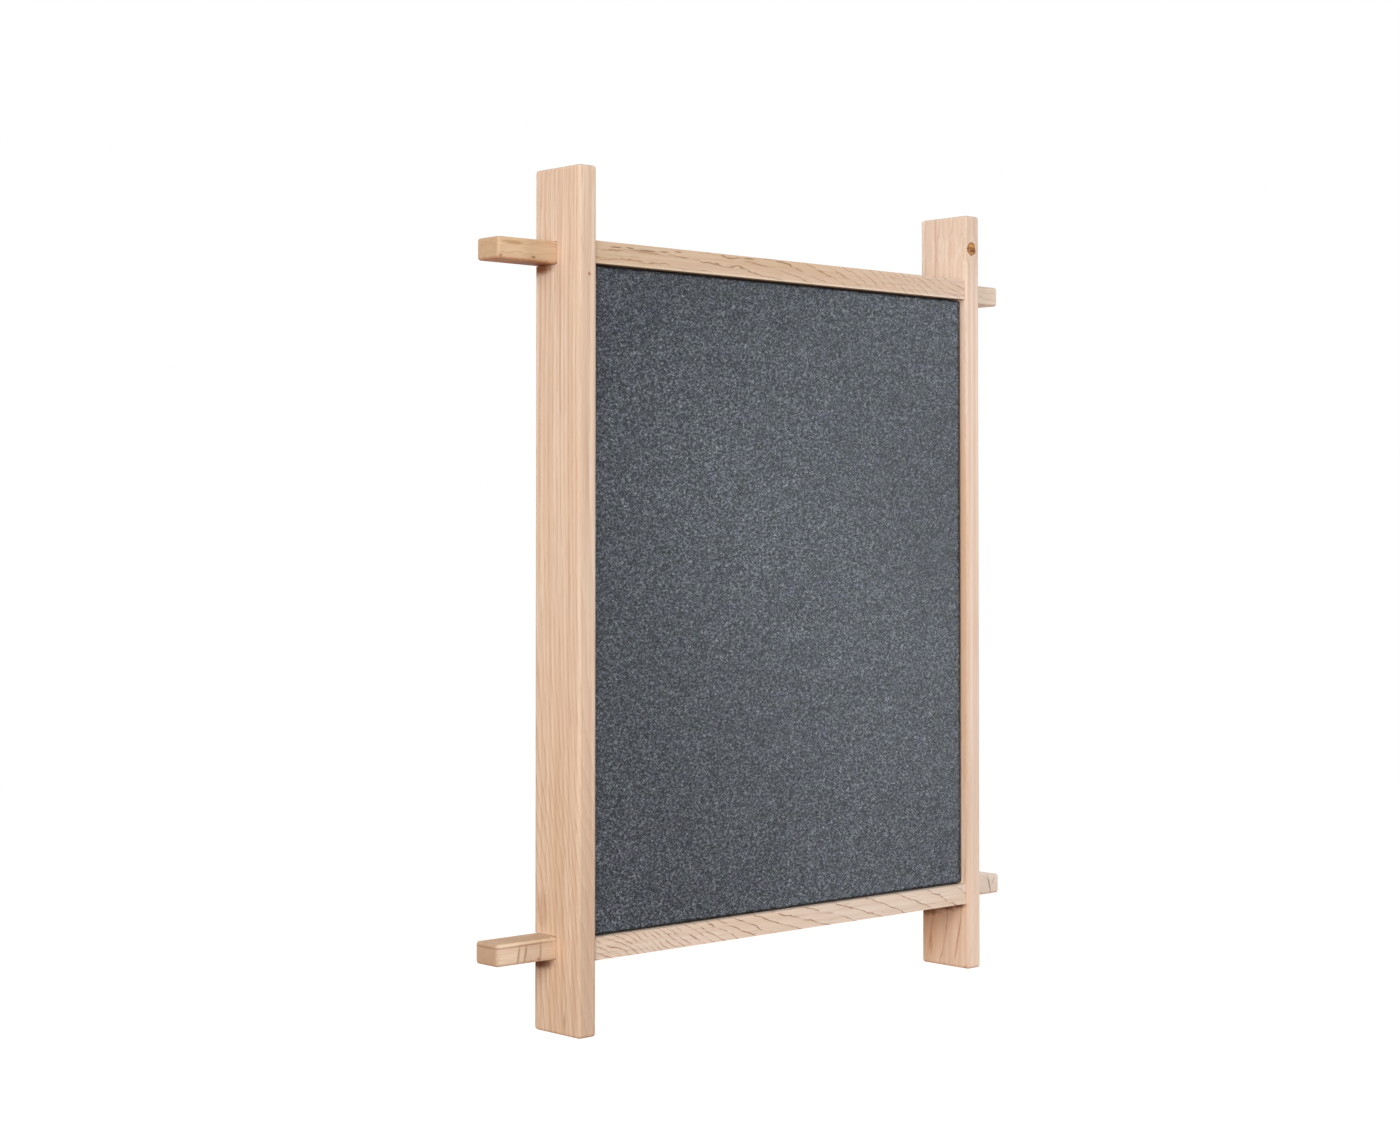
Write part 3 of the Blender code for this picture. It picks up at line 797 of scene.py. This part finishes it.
def pineMaterial(name, seed):
    material, tree, shader = newMaterial(name + "PlanedPine", pine["shader"])
    low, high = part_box(name)
    order = (2, 1, 0) if high.x - low.x > high.z - low.z else (0, 1, 2)
    local = boardCoordinates(tree, (low + high) / 2, order)
    wander = grainNoise(tree, local, pine["wanderSize"], seed).outputs["Color"]
    moved = addNode(
        tree,
        "VectorMath",
        {"operation": "MULTIPLY_ADD", 0: wander, 1: (pine["wander"], pine["wander"], 0.0), 2: local},
    )
    fromHeart = heartDistance(tree, moved, pine["heart"])
    rings = addNode(tree, "Math", {"operation": "MULTIPLY", 0: fromHeart, 1: pine["ringsPerMetre"]})
    ring = addNode(tree, "Math", {"operation": "FRACT", 0: rings})
    fibres = grainNoise(tree, local, pine["fibres"], seed + 2, detail=3.0)
    shaken = addNode(
        tree, "Math", {"operation": "MULTIPLY_ADD", 0: fibres, 1: pine["fibreShare"], 2: ring}
    )
    bands = addNode(tree, "ValToRGB", {"Fac": shaken, "stops": pine["bands"]})
    tree.links.new(bands.outputs[0], shader.inputs["Base Color"])
    bump = addNode(
        tree, "Bump", {"Strength": pine["bumpStrength"], "Distance": pine["bump"], "Height": fibres}
    )
    tree.links.new(bump.outputs[0], shader.inputs["Normal"])
    return material


for name, seed in pine["seeds"].items():
    giveMaterial([name], pineMaterial(name, seed))

# Beech dowels, turned: even pink-brown wood with short dark ray dashes along it
beech = {
    "pale": "#d8b08a",
    "dash": "#a97b55",
    "dashes": (0.5 * mm, 3 * mm),
    "dashRange": (0.58, 0.70),
    "dashShare": 0.7,
    "bump": 0.05 * mm,
    "bumpStrength": 0.3,
    "seed": 41.0,
    "shader": {"Roughness": 0.55, "IOR": 1.5},
}


def beechMaterial():
    material, tree, shader = newMaterial("turnedBeech", beech["shader"])
    local = boardCoordinates(tree, order=(2, 1, 0))
    dashes = grainNoise(tree, local, beech["dashes"], beech["seed"])
    mask = addNode(
        tree, "MapRange", {"Value": dashes, "from": beech["dashRange"], "to": (0.0, beech["dashShare"])}
    )
    colour = addNode(
        tree, "Mix", {"data_type": "RGBA", "Factor": mask, "colours": (beech["pale"], beech["dash"])}
    ).outputs[2]
    tree.links.new(colour, shader.inputs["Base Color"])
    bump = addNode(
        tree, "Bump", {"Strength": beech["bumpStrength"], "Distance": beech["bump"], "Height": dashes}
    )
    tree.links.new(bump.outputs[0], shader.inputs["Normal"])
    return material


giveMaterial([n for n in nodes if n.endswith("dowel")], beechMaterial())

# Birch plywood, rotary cut: cream veneer with wide, wavy, faint figure and fine brown flecks
plywood = {
    "pale": "#e9d3ac",
    "figure": "#d4b283",
    "fleck": "#a67c4e",
    "wander": 120 * mm,
    "wanderSize": (120 * mm, 260 * mm),
    "figureSize": (16 * mm, 260 * mm),
    "figureRange": (0.52, 0.88),
    "fibres": (1.2 * mm, 40 * mm),
    "fibreShare": 0.4,
    "flecks": (1.0 * mm, 9 * mm),
    "fleckRange": (0.66, 0.76),
    "fleckShare": 0.6,
    "bump": 0.08 * mm,
    "bumpStrength": 0.3,
    "seed": 51.0,
    "shader": {"Roughness": 0.6, "IOR": 1.5},
}


def plywoodMaterial():
    material, tree, shader = newMaterial("rotaryCutBirch", plywood["shader"])
    local, seed = boardCoordinates(tree), plywood["seed"]
    wander = grainNoise(tree, local, plywood["wanderSize"], seed).outputs["Color"]
    bent = addNode(
        tree,
        "VectorMath",
        {"operation": "MULTIPLY_ADD", 0: wander, 1: (plywood["wander"], 0.0, 0.0), 2: local},
    )
    figure = grainNoise(tree, bent, plywood["figureSize"], seed + 2, detail=4.0, roughness=0.6)
    fibres = grainNoise(tree, bent, plywood["fibres"], seed + 4, detail=3.0)
    flecks = grainNoise(tree, bent, plywood["flecks"], seed + 6)
    tone = addNode(
        tree, "Math", {"operation": "MULTIPLY_ADD", 0: fibres, 1: plywood["fibreShare"], 2: figure}
    )
    mask = addNode(tree, "MapRange", {"Value": tone, "from": plywood["figureRange"]})
    plain = addNode(
        tree,
        "Mix",
        {"data_type": "RGBA", "Factor": mask, "colours": (plywood["pale"], plywood["figure"])},
    ).outputs[2]
    spots = addNode(
        tree,
        "MapRange",
        {"Value": flecks, "from": plywood["fleckRange"], "to": (0.0, plywood["fleckShare"])},
    )
    colour = addNode(
        tree, "Mix", {"data_type": "RGBA", "Factor": spots, "colours": (plain, plywood["fleck"])}
    ).outputs[2]
    tree.links.new(colour, shader.inputs["Base Color"])
    bump = addNode(
        tree,
        "Bump",
        {"Strength": plywood["bumpStrength"], "Distance": plywood["bump"], "Height": fibres},
    )
    tree.links.new(bump.outputs[0], shader.inputs["Normal"])
    return material


giveMaterial(["backing_board"], plywoodMaterial())

# Soft fibreboard, pressed: brown felted fibres with pale and dark chips
fibreboard = {
    "tones": [(0.30, "#6e5238"), (0.48, "#a98963"), (0.70, "#cdb38a")],
    "chips": (2.5 * mm, 2.5 * mm),
    "bump": 0.4 * mm,
    "bumpStrength": 0.7,
    "seed": 61.0,
    "shader": {"Roughness": 0.95},
}


def fibreboardMaterial():
    material, tree, shader = newMaterial("pressedSoftboard", fibreboard["shader"])
    local, seed = boardCoordinates(tree), fibreboard["seed"]
    chips = grainNoise(tree, local, fibreboard["chips"], seed, detail=4.0, roughness=0.7)
    colour = addNode(tree, "ValToRGB", {"Fac": chips, "stops": fibreboard["tones"]})
    tree.links.new(colour.outputs[0], shader.inputs["Base Color"])
    bump = addNode(
        tree,
        "Bump",
        {"Strength": fibreboard["bumpStrength"], "Distance": fibreboard["bump"], "Height": chips},
    )
    tree.links.new(bump.outputs[0], shader.inputs["Normal"])
    return material


giveMaterial(["pin_core"], fibreboardMaterial())
print("inner boards finished")


# Zinc-plated steel: bright grey metal with a faint blue and straw cloudiness. The screws are turned
# and the plates are stamped and tumbled, so the screws keep finer marks.
zinc = {
    "screw": {"grey": "#c3c7cb", "tint": "#b9b7a6", "marks": 0.8 * mm, "roughness": (0.26, 0.42)},
    "plate": {"grey": "#bfc3c8", "tint": "#a9adb6", "marks": 3.0 * mm, "roughness": (0.30, 0.50)},
    "wire": {"grey": "#b4b8bc", "tint": "#8f9499", "marks": 0.7 * mm, "roughness": (0.30, 0.46)},
    "clouds": (5 * mm, 5 * mm),
    "markRange": (0.3, 0.7),
    "bump": 0.05 * mm,
    "bumpStrength": 0.25,
    "seed": 71.0,
    "shader": {"Metallic": 1.0},
}


def zincMaterial(kind):
    finish, seed = zinc[kind], zinc["seed"]
    material, tree, shader = newMaterial(kind + "ZincPlatedSteel", zinc["shader"])
    local = boardCoordinates(tree)
    clouds = grainNoise(tree, local, zinc["clouds"], seed, detail=3.0)
    size = (finish["marks"], finish["marks"])
    marks = grainNoise(tree, local, size, seed + 2, detail=4.0, roughness=0.65)
    colour = addNode(
        tree,
        "Mix",
        {"data_type": "RGBA", "Factor": clouds, "colours": (finish["grey"], finish["tint"])},
    ).outputs[2]
    tree.links.new(colour, shader.inputs["Base Color"])
    rough = addNode(
        tree, "MapRange", {"Value": marks, "from": zinc["markRange"], "to": finish["roughness"]}
    )
    tree.links.new(rough.outputs[0], shader.inputs["Roughness"])
    bump = addNode(
        tree, "Bump", {"Strength": zinc["bumpStrength"], "Distance": zinc["bump"], "Height": marks}
    )
    tree.links.new(bump.outputs[0], shader.inputs["Normal"])
    return material


giveMaterial([n for n in nodes if n.endswith("hanger_plate")], zincMaterial("plate"))
giveMaterial([n for n in nodes if "screw" in n], zincMaterial("screw"))
print("fixings finished")


# The cloth: one piece drawn over the panel's face and edges and turned over its back. Its outer
# surface is where the CAD cover's is. It can lift only as far as the cleats, which press it flat.
coverLow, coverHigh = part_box("fabric_cover")
cover = {
    "halfWidth": coverHigh.x,
    "halfHeight": coverHigh.z,
    "front": coverLow.y,
    "back": coverHigh.y,
    "skin": 0.9 * mm,
    "edgeRadius": 2.6 * mm,
    "turnedOver": 33.9 * mm,
    "squares": 6 * mm,
    "cornerLines": 4,
    "edgeSteps": 4,
    "edgeShares": (0.33, 0.67),
    "borderSteps": 12,
    "cornerRound": 0.3 * mm,
    "waves": 0.10 * mm,
    "waveLength": 90 * mm,
    "waveFade": 30 * mm,
    "cutWaver": 0.5 * mm,
    "cutWaverLength": 7 * mm,
    "cutLayer": 5.0,
    "sameSide": 0.01 * mm,
    "lift": 0.45 * mm,
    "liftReach": 15 * mm,
    "rippleLength": 24 * mm,
    "rippleLayer": 1.0,
    "foldHeight": 0.7 * mm,
    "foldReach": 30 * mm,
    "foldFade": 14 * mm,
    "foldGap": 0.1 * mm,
    "cleatReach": 241.7 * mm,
    "cleatRise": 294.7 * mm,
}


# Where grid lines fall along one half side: close together near the corner
def gridLines(flatHalf):
    run = cover["edgeRadius"]
    steps = max(2, round((flatHalf - run) / cover["squares"]))
    wide = [(flatHalf - run) * n / steps for n in range(steps + 1)]
    lines = cover["cornerLines"]
    close = [flatHalf - run + run * n / lines for n in range(1, lines + 1)]
    half = wide + close
    return [-x for x in reversed(half[1:])] + half


# Moves a point of the flat face's outline onto a larger or smaller ring with round corners
def onRing(x, z, flatX, flatZ, ringX, ringZ, radius):
    run = cover["edgeRadius"]
    signX, signZ = math.copysign(1, x), math.copysign(1, z)
    besideX, besideZ = flatX - abs(x), flatZ - abs(z)
    onSide = besideX <= besideZ
    fromCorner = besideZ if onSide else besideX
    if fromCorner < run:
        turn = math.radians(45) * (1 - fromCorner / run)
        angle = turn if onSide else math.radians(90) - turn
        return (
            signX * (ringX - radius + radius * math.cos(angle)),
            signZ * (ringZ - radius + radius * math.sin(angle)),
        )
    if onSide:
        return signX * ringX, z * (ringZ - radius) / (flatZ - run)
    return x * (ringX - radius) / (flatX - run), signZ * ringZ


def faceWave(x, z):
    at = Vector((x, 0.0, z)) / cover["waveLength"]
    fade = min(1.0, min(cover["halfWidth"] - abs(x), cover["halfHeight"] - abs(z)) / cover["waveFade"])
    return cover["waves"] * noise.noise(at) * max(0.0, fade)


# Rings from the flat face to the cut edge: growth of the half sizes past the flat face, depth, corner
# radius
def coverRings(border):
    radius, steps, rings = cover["edgeRadius"], cover["edgeSteps"], []
    for n in range(1, steps + 1):
        angle = math.radians(90) * n / steps
        grown = radius * math.sin(angle)
        depth = cover["front"] + radius * (1 - math.cos(angle))
        rings.append((grown, depth, max(grown, cover["cornerRound"])))
    for share in cover["edgeShares"]:
        depth = cover["front"] + radius + share * (cover["back"] - cover["front"] - 2 * radius)
        rings.append((radius, depth, radius))
    for n in range(steps + 1):
        angle = math.radians(90) * n / steps
        grown = radius * math.cos(angle)
        depth = cover["back"] - radius * (1 - math.sin(angle))
        rings.append((grown, depth, max(grown, cover["cornerRound"])))
    for n in range(1, cover["borderSteps"] + 1):
        rings.append((-border * n / cover["borderSteps"], cover["back"], cover["cornerRound"]))
    return rings


# How far the turned-over cloth stands off the panel's back
def backLift(x, z):
    inward = max(cover["cleatReach"] - abs(x), cover["cleatRise"] - abs(z)) / cover["liftReach"]
    free = max(0.0, min(1.0, inward))
    ripple = 0.5 + 0.5 * noise.noise(Vector((x, cover["rippleLayer"], z)) / cover["rippleLength"])
    lift = free * cover["lift"] * ripple
    # The side borders lie over the upper and lower ones at a mitre
    fromCorner = cover["halfHeight"] - abs(z)
    pastMitre = fromCorner - (cover["halfWidth"] - abs(x))
    foldLeft = cover["foldReach"] + cover["turnedOver"] - fromCorner
    if pastMitre > cover["foldGap"] and foldLeft > 0:
        lift += cover["foldHeight"] * free * min(1.0, foldLeft / cover["foldFade"])
    return lift


def makeCover():
    radius = cover["edgeRadius"]
    flatX, flatZ = cover["halfWidth"] - radius, cover["halfHeight"] - radius
    columns, rows = gridLines(flatX), gridLines(flatZ)
    shape = bmesh.new()
    face = [[shape.verts.new((x, cover["front"] + faceWave(x, z), z)) for x in columns] for z in rows]
    for low, high in zip(face, face[1:]):
        for at in range(len(columns) - 1):
            shape.faces.new((low[at], low[at + 1], high[at + 1], high[at]))
    outline = (
        face[0]
        + [row[-1] for row in face[1:]]
        + list(reversed(face[-1][:-1]))
        + [row[0] for row in reversed(face[1:-1])]
    )
    flatPoints = [(v.co.x, v.co.z) for v in outline]

    previous = outline
    rings = coverRings(cover["turnedOver"] - radius)
    for number, (grown, depth, corner) in enumerate(rings, 1):
        ringX, ringZ = flatX + grown, flatZ + grown
        current = []
        for x, z in flatPoints:
            newX, newZ = onRing(x, z, flatX, flatZ, ringX, ringZ, corner)
            lift = backLift(newX, newZ) if grown < 0 else 0.0
            if number == len(rings):
                spot = Vector((newX, cover["cutLayer"], newZ)) / cover["cutWaverLength"]
                waver = cover["cutWaver"] * noise.noise(spot)
                newX += math.copysign(waver, newX) if abs(newX) > ringX - cover["sameSide"] else 0.0
                newZ += math.copysign(waver, newZ) if abs(newZ) > ringZ - cover["sameSide"] else 0.0
            current.append(shape.verts.new((newX, depth + lift, newZ)))
        count = len(previous)
        for at in range(count):
            after = (at + 1) % count
            shape.faces.new((previous[after], previous[at], current[at], current[after]))
        previous = current

    bmesh.ops.recalc_face_normals(shape, faces=shape.faces)
    mesh = bpy.data.meshes.new("cover_cloth")
    shape.to_mesh(mesh)
    shape.free()
    mesh.shade_smooth()
    piece = bpy.data.objects.new("cover_cloth", mesh)
    bpy.context.scene.collection.objects.link(piece)
    if mesh.polygons[0].normal.y > 0:
        mesh.flip_normals()
    skin = piece.modifiers.new("cloth", "SOLIDIFY")
    skin.thickness = cover["skin"]
    skin.offset = -1.0
    skin.use_even_offset = True
    return piece


# Wool felt, given its charcoal colour in the fleece and pressed: a matt melange of pale and near-black
# fibres with no weave, faint streaks along the roll, clouds of tint, a slow cloud of painted light and
# shade across the cloth, and painted shade where it turns into the gap beside the frame
felt = {
    "base": "#343b46",
    "tints": ("#323e3a", "#393748"),
    "tintCloud": 19 * mm,
    "tintRange": (0.35, 0.65),
    "tintShare": 0.45,
    "black": "#07090c",
    "blackRange": (0.46, 0.30),
    "blackShare": 0.85,
    "pale": "#8d9298",
    "paleRange": (0.54, 0.72),
    "paleShare": 0.62,
    "fibreWidth": 1.5 * mm,  # real fibres are far finer, and are drawn as coarse as they need to show
    "fibreLength": 3.8 * mm,
    "bend": 3 * mm,
    "bendLength": 6 * mm,
    "turns": (0.0, 28.0, 151.0),
    "layerStep": (0.31, 0.17),
    "speck": 1.8 * mm,
    "speckTone": (0.12, 1.88),
    "cloud": 34 * mm,
    "cloudTone": (0.93, 1.07),
    "lay": (1.8 * mm, 26 * mm),
    "laySeed": 81.0,
    "layTone": (0.90, 1.10),
    "toneRange": (0.3, 0.7),
    # A slow cloud of painted light and shade
    "paintedLightCloud": (320 * mm, 320 * mm),
    "paintedLightSeed": 28.0,
    "paintedLightRange": (0.25, 0.75),
    "paintedLightTone": (0.83, 1.16),
    # Painted shade where the cloth turns into the gap beside the frame
    "creaseFrom": 0.15 * mm,
    "creaseTo": 1.0 * mm,
    "creaseShadeShare": 0.25,
    "backFrom": 4 * mm,
    "backTo": 1 * mm,
    "bump": 0.5 * mm,
    "bumpStrength": 0.8,
    "shader": {"Roughness": 0.31, "IOR": 1.5, "Specular IOR Level": 0.11},
}


# Fibres lie in every direction: three layers of noise, each turned and stretched its own way
def feltFibres(tree, place):
    wobble = addNode(
        tree, "TexNoise", {"Vector": place, "Scale": 1 / felt["bendLength"], "Detail": 1.0}
    ).outputs["Color"]
    bent = addNode(
        tree, "VectorMath", {"operation": "MULTIPLY_ADD", 0: wobble, 1: (felt["bend"],) * 3, 2: place}
    )
    stretch = (1 / felt["fibreLength"], 1 / felt["fibreWidth"], 1 / felt["fibreWidth"])
    layers = []
    for number, turn in enumerate(felt["turns"]):
        moved = (*(number * step for step in felt["layerStep"]), 0.0)
        rotation = (0.0, math.radians(turn), 0.0)
        turned = addNode(tree, "Mapping", {"Vector": bent, "Rotation": rotation, "Location": moved})
        scaled = addNode(tree, "VectorMath", {"operation": "MULTIPLY", 0: turned, 1: stretch})
        layers.append(addNode(tree, "TexNoise", {"Vector": scaled, "Scale": 1.0, "Detail": 2.0}))
    most, least = layers[0], layers[0]
    for layer in layers[1:]:
        most = addNode(tree, "Math", {"operation": "MAXIMUM", 0: most, 1: layer})
        least = addNode(tree, "Math", {"operation": "MINIMUM", 0: least, 1: layer})
    return most, least


def feltMaterial():
    material, tree, shader = newMaterial("charcoalWoolFelt", felt["shader"])
    place = addNode(tree, "TexCoord").outputs["Object"]
    most, least = feltFibres(tree, place)
    specks = addNode(tree, "TexNoise", {"Vector": place, "Scale": 1 / felt["speck"], "Detail": 3.0})
    clouds = addNode(tree, "TexNoise", {"Vector": place, "Scale": 1 / felt["cloud"], "Detail": 3.0})
    tints = addNode(tree, "TexNoise", {"Vector": place, "Scale": 1 / felt["tintCloud"], "Detail": 2.0})

    tintMix = addNode(tree, "MapRange", {"Value": tints, "from": felt["tintRange"]})
    tinted = addNode(
        tree, "Mix", {"data_type": "RGBA", "Factor": tintMix, "colours": felt["tints"]}
    ).outputs[2]
    base = addNode(
        tree,
        "Mix",
        {"data_type": "RGBA", "Factor": felt["tintShare"], "colours": (felt["base"], tinted)},
    ).outputs[2]
    dark = addNode(
        tree, "MapRange", {"Value": least, "from": felt["blackRange"], "to": (0.0, felt["blackShare"])}
    )
    darkened = addNode(
        tree, "Mix", {"data_type": "RGBA", "Factor": dark, "colours": (base, felt["black"])}
    ).outputs[2]
    pale = addNode(
        tree, "MapRange", {"Value": most, "from": felt["paleRange"], "to": (0.0, felt["paleShare"])}
    )
    paled = addNode(
        tree, "Mix", {"data_type": "RGBA", "Factor": pale, "colours": (darkened, felt["pale"])}
    ).outputs[2]

    speckled = addNode(
        tree, "MapRange", {"Value": specks, "from": felt["toneRange"], "to": felt["speckTone"]}
    )
    clouded = addNode(
        tree, "MapRange", {"Value": clouds, "from": felt["toneRange"], "to": felt["cloudTone"]}
    )
    # Most fibres lie along the roll, which gives faint streaks across the board
    local = boardCoordinates(tree, order=(2, 1, 0))
    lay = grainNoise(tree, local, felt["lay"], felt["laySeed"])
    streaked = addNode(
        tree, "MapRange", {"Value": lay, "from": felt["toneRange"], "to": felt["layTone"]}
    )
    # Painted light and shade: a slow cloud that lightens and darkens the cloth from place to place
    paintedLightCloud = grainNoise(tree, local, felt["paintedLightCloud"], felt["paintedLightSeed"], detail=0.0)
    paintedLightFactor = addNode(tree, "MapRange", {"Value": paintedLightCloud, "from": felt["paintedLightRange"], "to": felt["paintedLightTone"]})
    # Painted shade: the cloth is darkened where it turns into the gap beside the frame and along the
    # panel's edges, while its back keeps its colour
    depth = addNode(tree, "SeparateXYZ", {0: place}).outputs[1]
    crease = (cover["front"] + felt["creaseFrom"], cover["front"] + felt["creaseTo"])
    paintedCreaseShade = addNode(
        tree, "MapRange", {"Value": depth, "from": crease, "to": (1.0, felt["creaseShadeShare"])}
    )
    backTurn = (cover["back"] - felt["backFrom"], cover["back"] - felt["backTo"])
    behind = addNode(tree, "MapRange", {"Value": depth, "from": backTurn})
    tone = addNode(tree, "Math", {"operation": "MAXIMUM", 0: paintedCreaseShade, 1: behind})
    for other in (speckled, clouded, streaked, paintedLightFactor):
        tone = addNode(tree, "Math", {"operation": "MULTIPLY", 0: tone, 1: other})
    colour = addNode(tree, "VectorMath", {"operation": "SCALE", 0: paled, "Scale": tone})
    tree.links.new(colour.outputs[0], shader.inputs["Base Color"])
    bump = addNode(
        tree, "Bump", {"Strength": felt["bumpStrength"], "Distance": felt["bump"], "Height": most}
    )
    tree.links.new(bump.outputs[0], shader.inputs["Normal"])
    return material


coverCloth = makeCover()
coverCloth.data.materials.append(feltMaterial())
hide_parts("fabric_cover")
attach(coverCloth, "root")
print("cover finished:", len(coverCloth.data.polygons), "faces")


# Staples: flat wire crowns pressed into the turned-over cloth, closer together than the CAD's few,
# and never quite straight
staples = {
    "crown": 10 * mm,
    "wide": 1.2 * mm,
    "outerShare": 0.75,
    "thick": 0.6 * mm,
    "bend": 0.7 * mm,
    "bendSteps": 3,
    "sharpAngle": 40.0,
    "legIn": 0.7 * mm,
    "spacing": 36 * mm,
    "clearOfOthers": 20 * mm,
    "clearOfCorner": 46 * mm,
    "tilt": 14.0,
    "slip": 1.1 * mm,
    "slipAlong": 2.2 * mm,
    "drawStep": (3.7, 1.9, 0.3),
}


def addStaple(shape, place):
    half, bend = staples["crown"] / 2, staples["bend"]
    path = [(-half, -staples["legIn"])]
    for n in range(staples["bendSteps"] + 1):
        angle = math.radians(180 - 90 * n / staples["bendSteps"])
        x = -half + bend + bend * math.cos(angle)
        y = staples["thick"] - bend + bend * math.sin(angle)
        path.append((x, y))
    path += [(-x, y) for x, y in reversed(path)]
    wide = staples["wide"] / 2
    narrow = wide * staples["outerShare"]
    rows = []
    for at, (x, y) in enumerate(path):
        before, after = Vector(path[max(0, at - 1)]), Vector(path[min(len(path) - 1, at + 1)])
        run = (after - before).normalized()
        inward = Vector((run.y, -run.x)) * staples["thick"]
        low = (x + inward.x, y + inward.y)
        ring = [(x, y, -narrow), (x, y, narrow), (*low, wide), (*low, -wide)]
        rows.append([shape.verts.new(place @ Vector((px, pz, py))) for px, py, pz in ring])
    for first, second in zip(rows, rows[1:]):
        for at in range(len(first)):
            after = (at + 1) % len(first)
            shape.faces.new((first[at], first[after], second[after], second[at]))
    shape.faces.new(rows[0])
    shape.faces.new(list(reversed(rows[-1])))


def makeStaples():
    shape = bmesh.new()
    names = sorted(n for n in nodes if "staple" in n)
    taken = {}
    for name in names:
        low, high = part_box(name)
        taken.setdefault(name.split("_")[0], []).append((low + high) / 2)
    seed = 0
    stepSeed, stepDraw, start = staples["drawStep"]
    for side, middles in sorted(taken.items()):
        upright = side in ("left", "right")
        fixed = middles[0].x if upright else middles[0].z
        end = (cover["halfHeight"] if upright else cover["halfWidth"]) - staples["clearOfCorner"]
        count = int(2 * end / staples["spacing"])
        spots = [m.z if upright else m.x for m in middles]
        extra = [-end + 2 * end * n / count for n in range(count + 1)]
        spots += [e for e in extra if min(abs(e - s) for s in spots) > staples["clearOfOthers"]]
        for number, spot in enumerate(spots):
            seed += 1
            # The CAD's own staples stay straight and in place
            jitter = 0.0 if number < len(middles) else 1.0
            draw = [noise.noise(Vector((seed * stepSeed, n * stepDraw, start))) for n in range(3)]
            tilt = math.radians(staples["tilt"] * draw[0]) * jitter
            across = fixed + staples["slip"] * draw[1] * jitter
            along = spot + staples["slipAlong"] * draw[2] * jitter
            x, z = (across, along) if upright else (along, across)
            direction = Vector((0, 0, 1)) if upright else Vector((1, 0, 0))
            direction = Matrix.Rotation(tilt, 3, "Y") @ direction
            out = Vector((0, 1, 0))
            turn = Matrix((direction, out.cross(direction), out)).transposed().to_4x4()
            addStaple(shape, Matrix.Translation((x, cover["back"], z)) @ turn)
    bmesh.ops.recalc_face_normals(shape, faces=shape.faces)
    mesh = bpy.data.meshes.new("cloth_staples")
    shape.to_mesh(mesh)
    shape.free()
    mesh.shade_smooth()
    mesh.set_sharp_from_angle(angle=math.radians(staples["sharpAngle"]))
    mesh.materials.append(zincMaterial("wire"))
    piece = bpy.data.objects.new("cloth_staples", mesh)
    bpy.context.scene.collection.objects.link(piece)
    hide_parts(*names)
    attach(piece, "root")
    return seed


print("staples finished:", makeStaples())
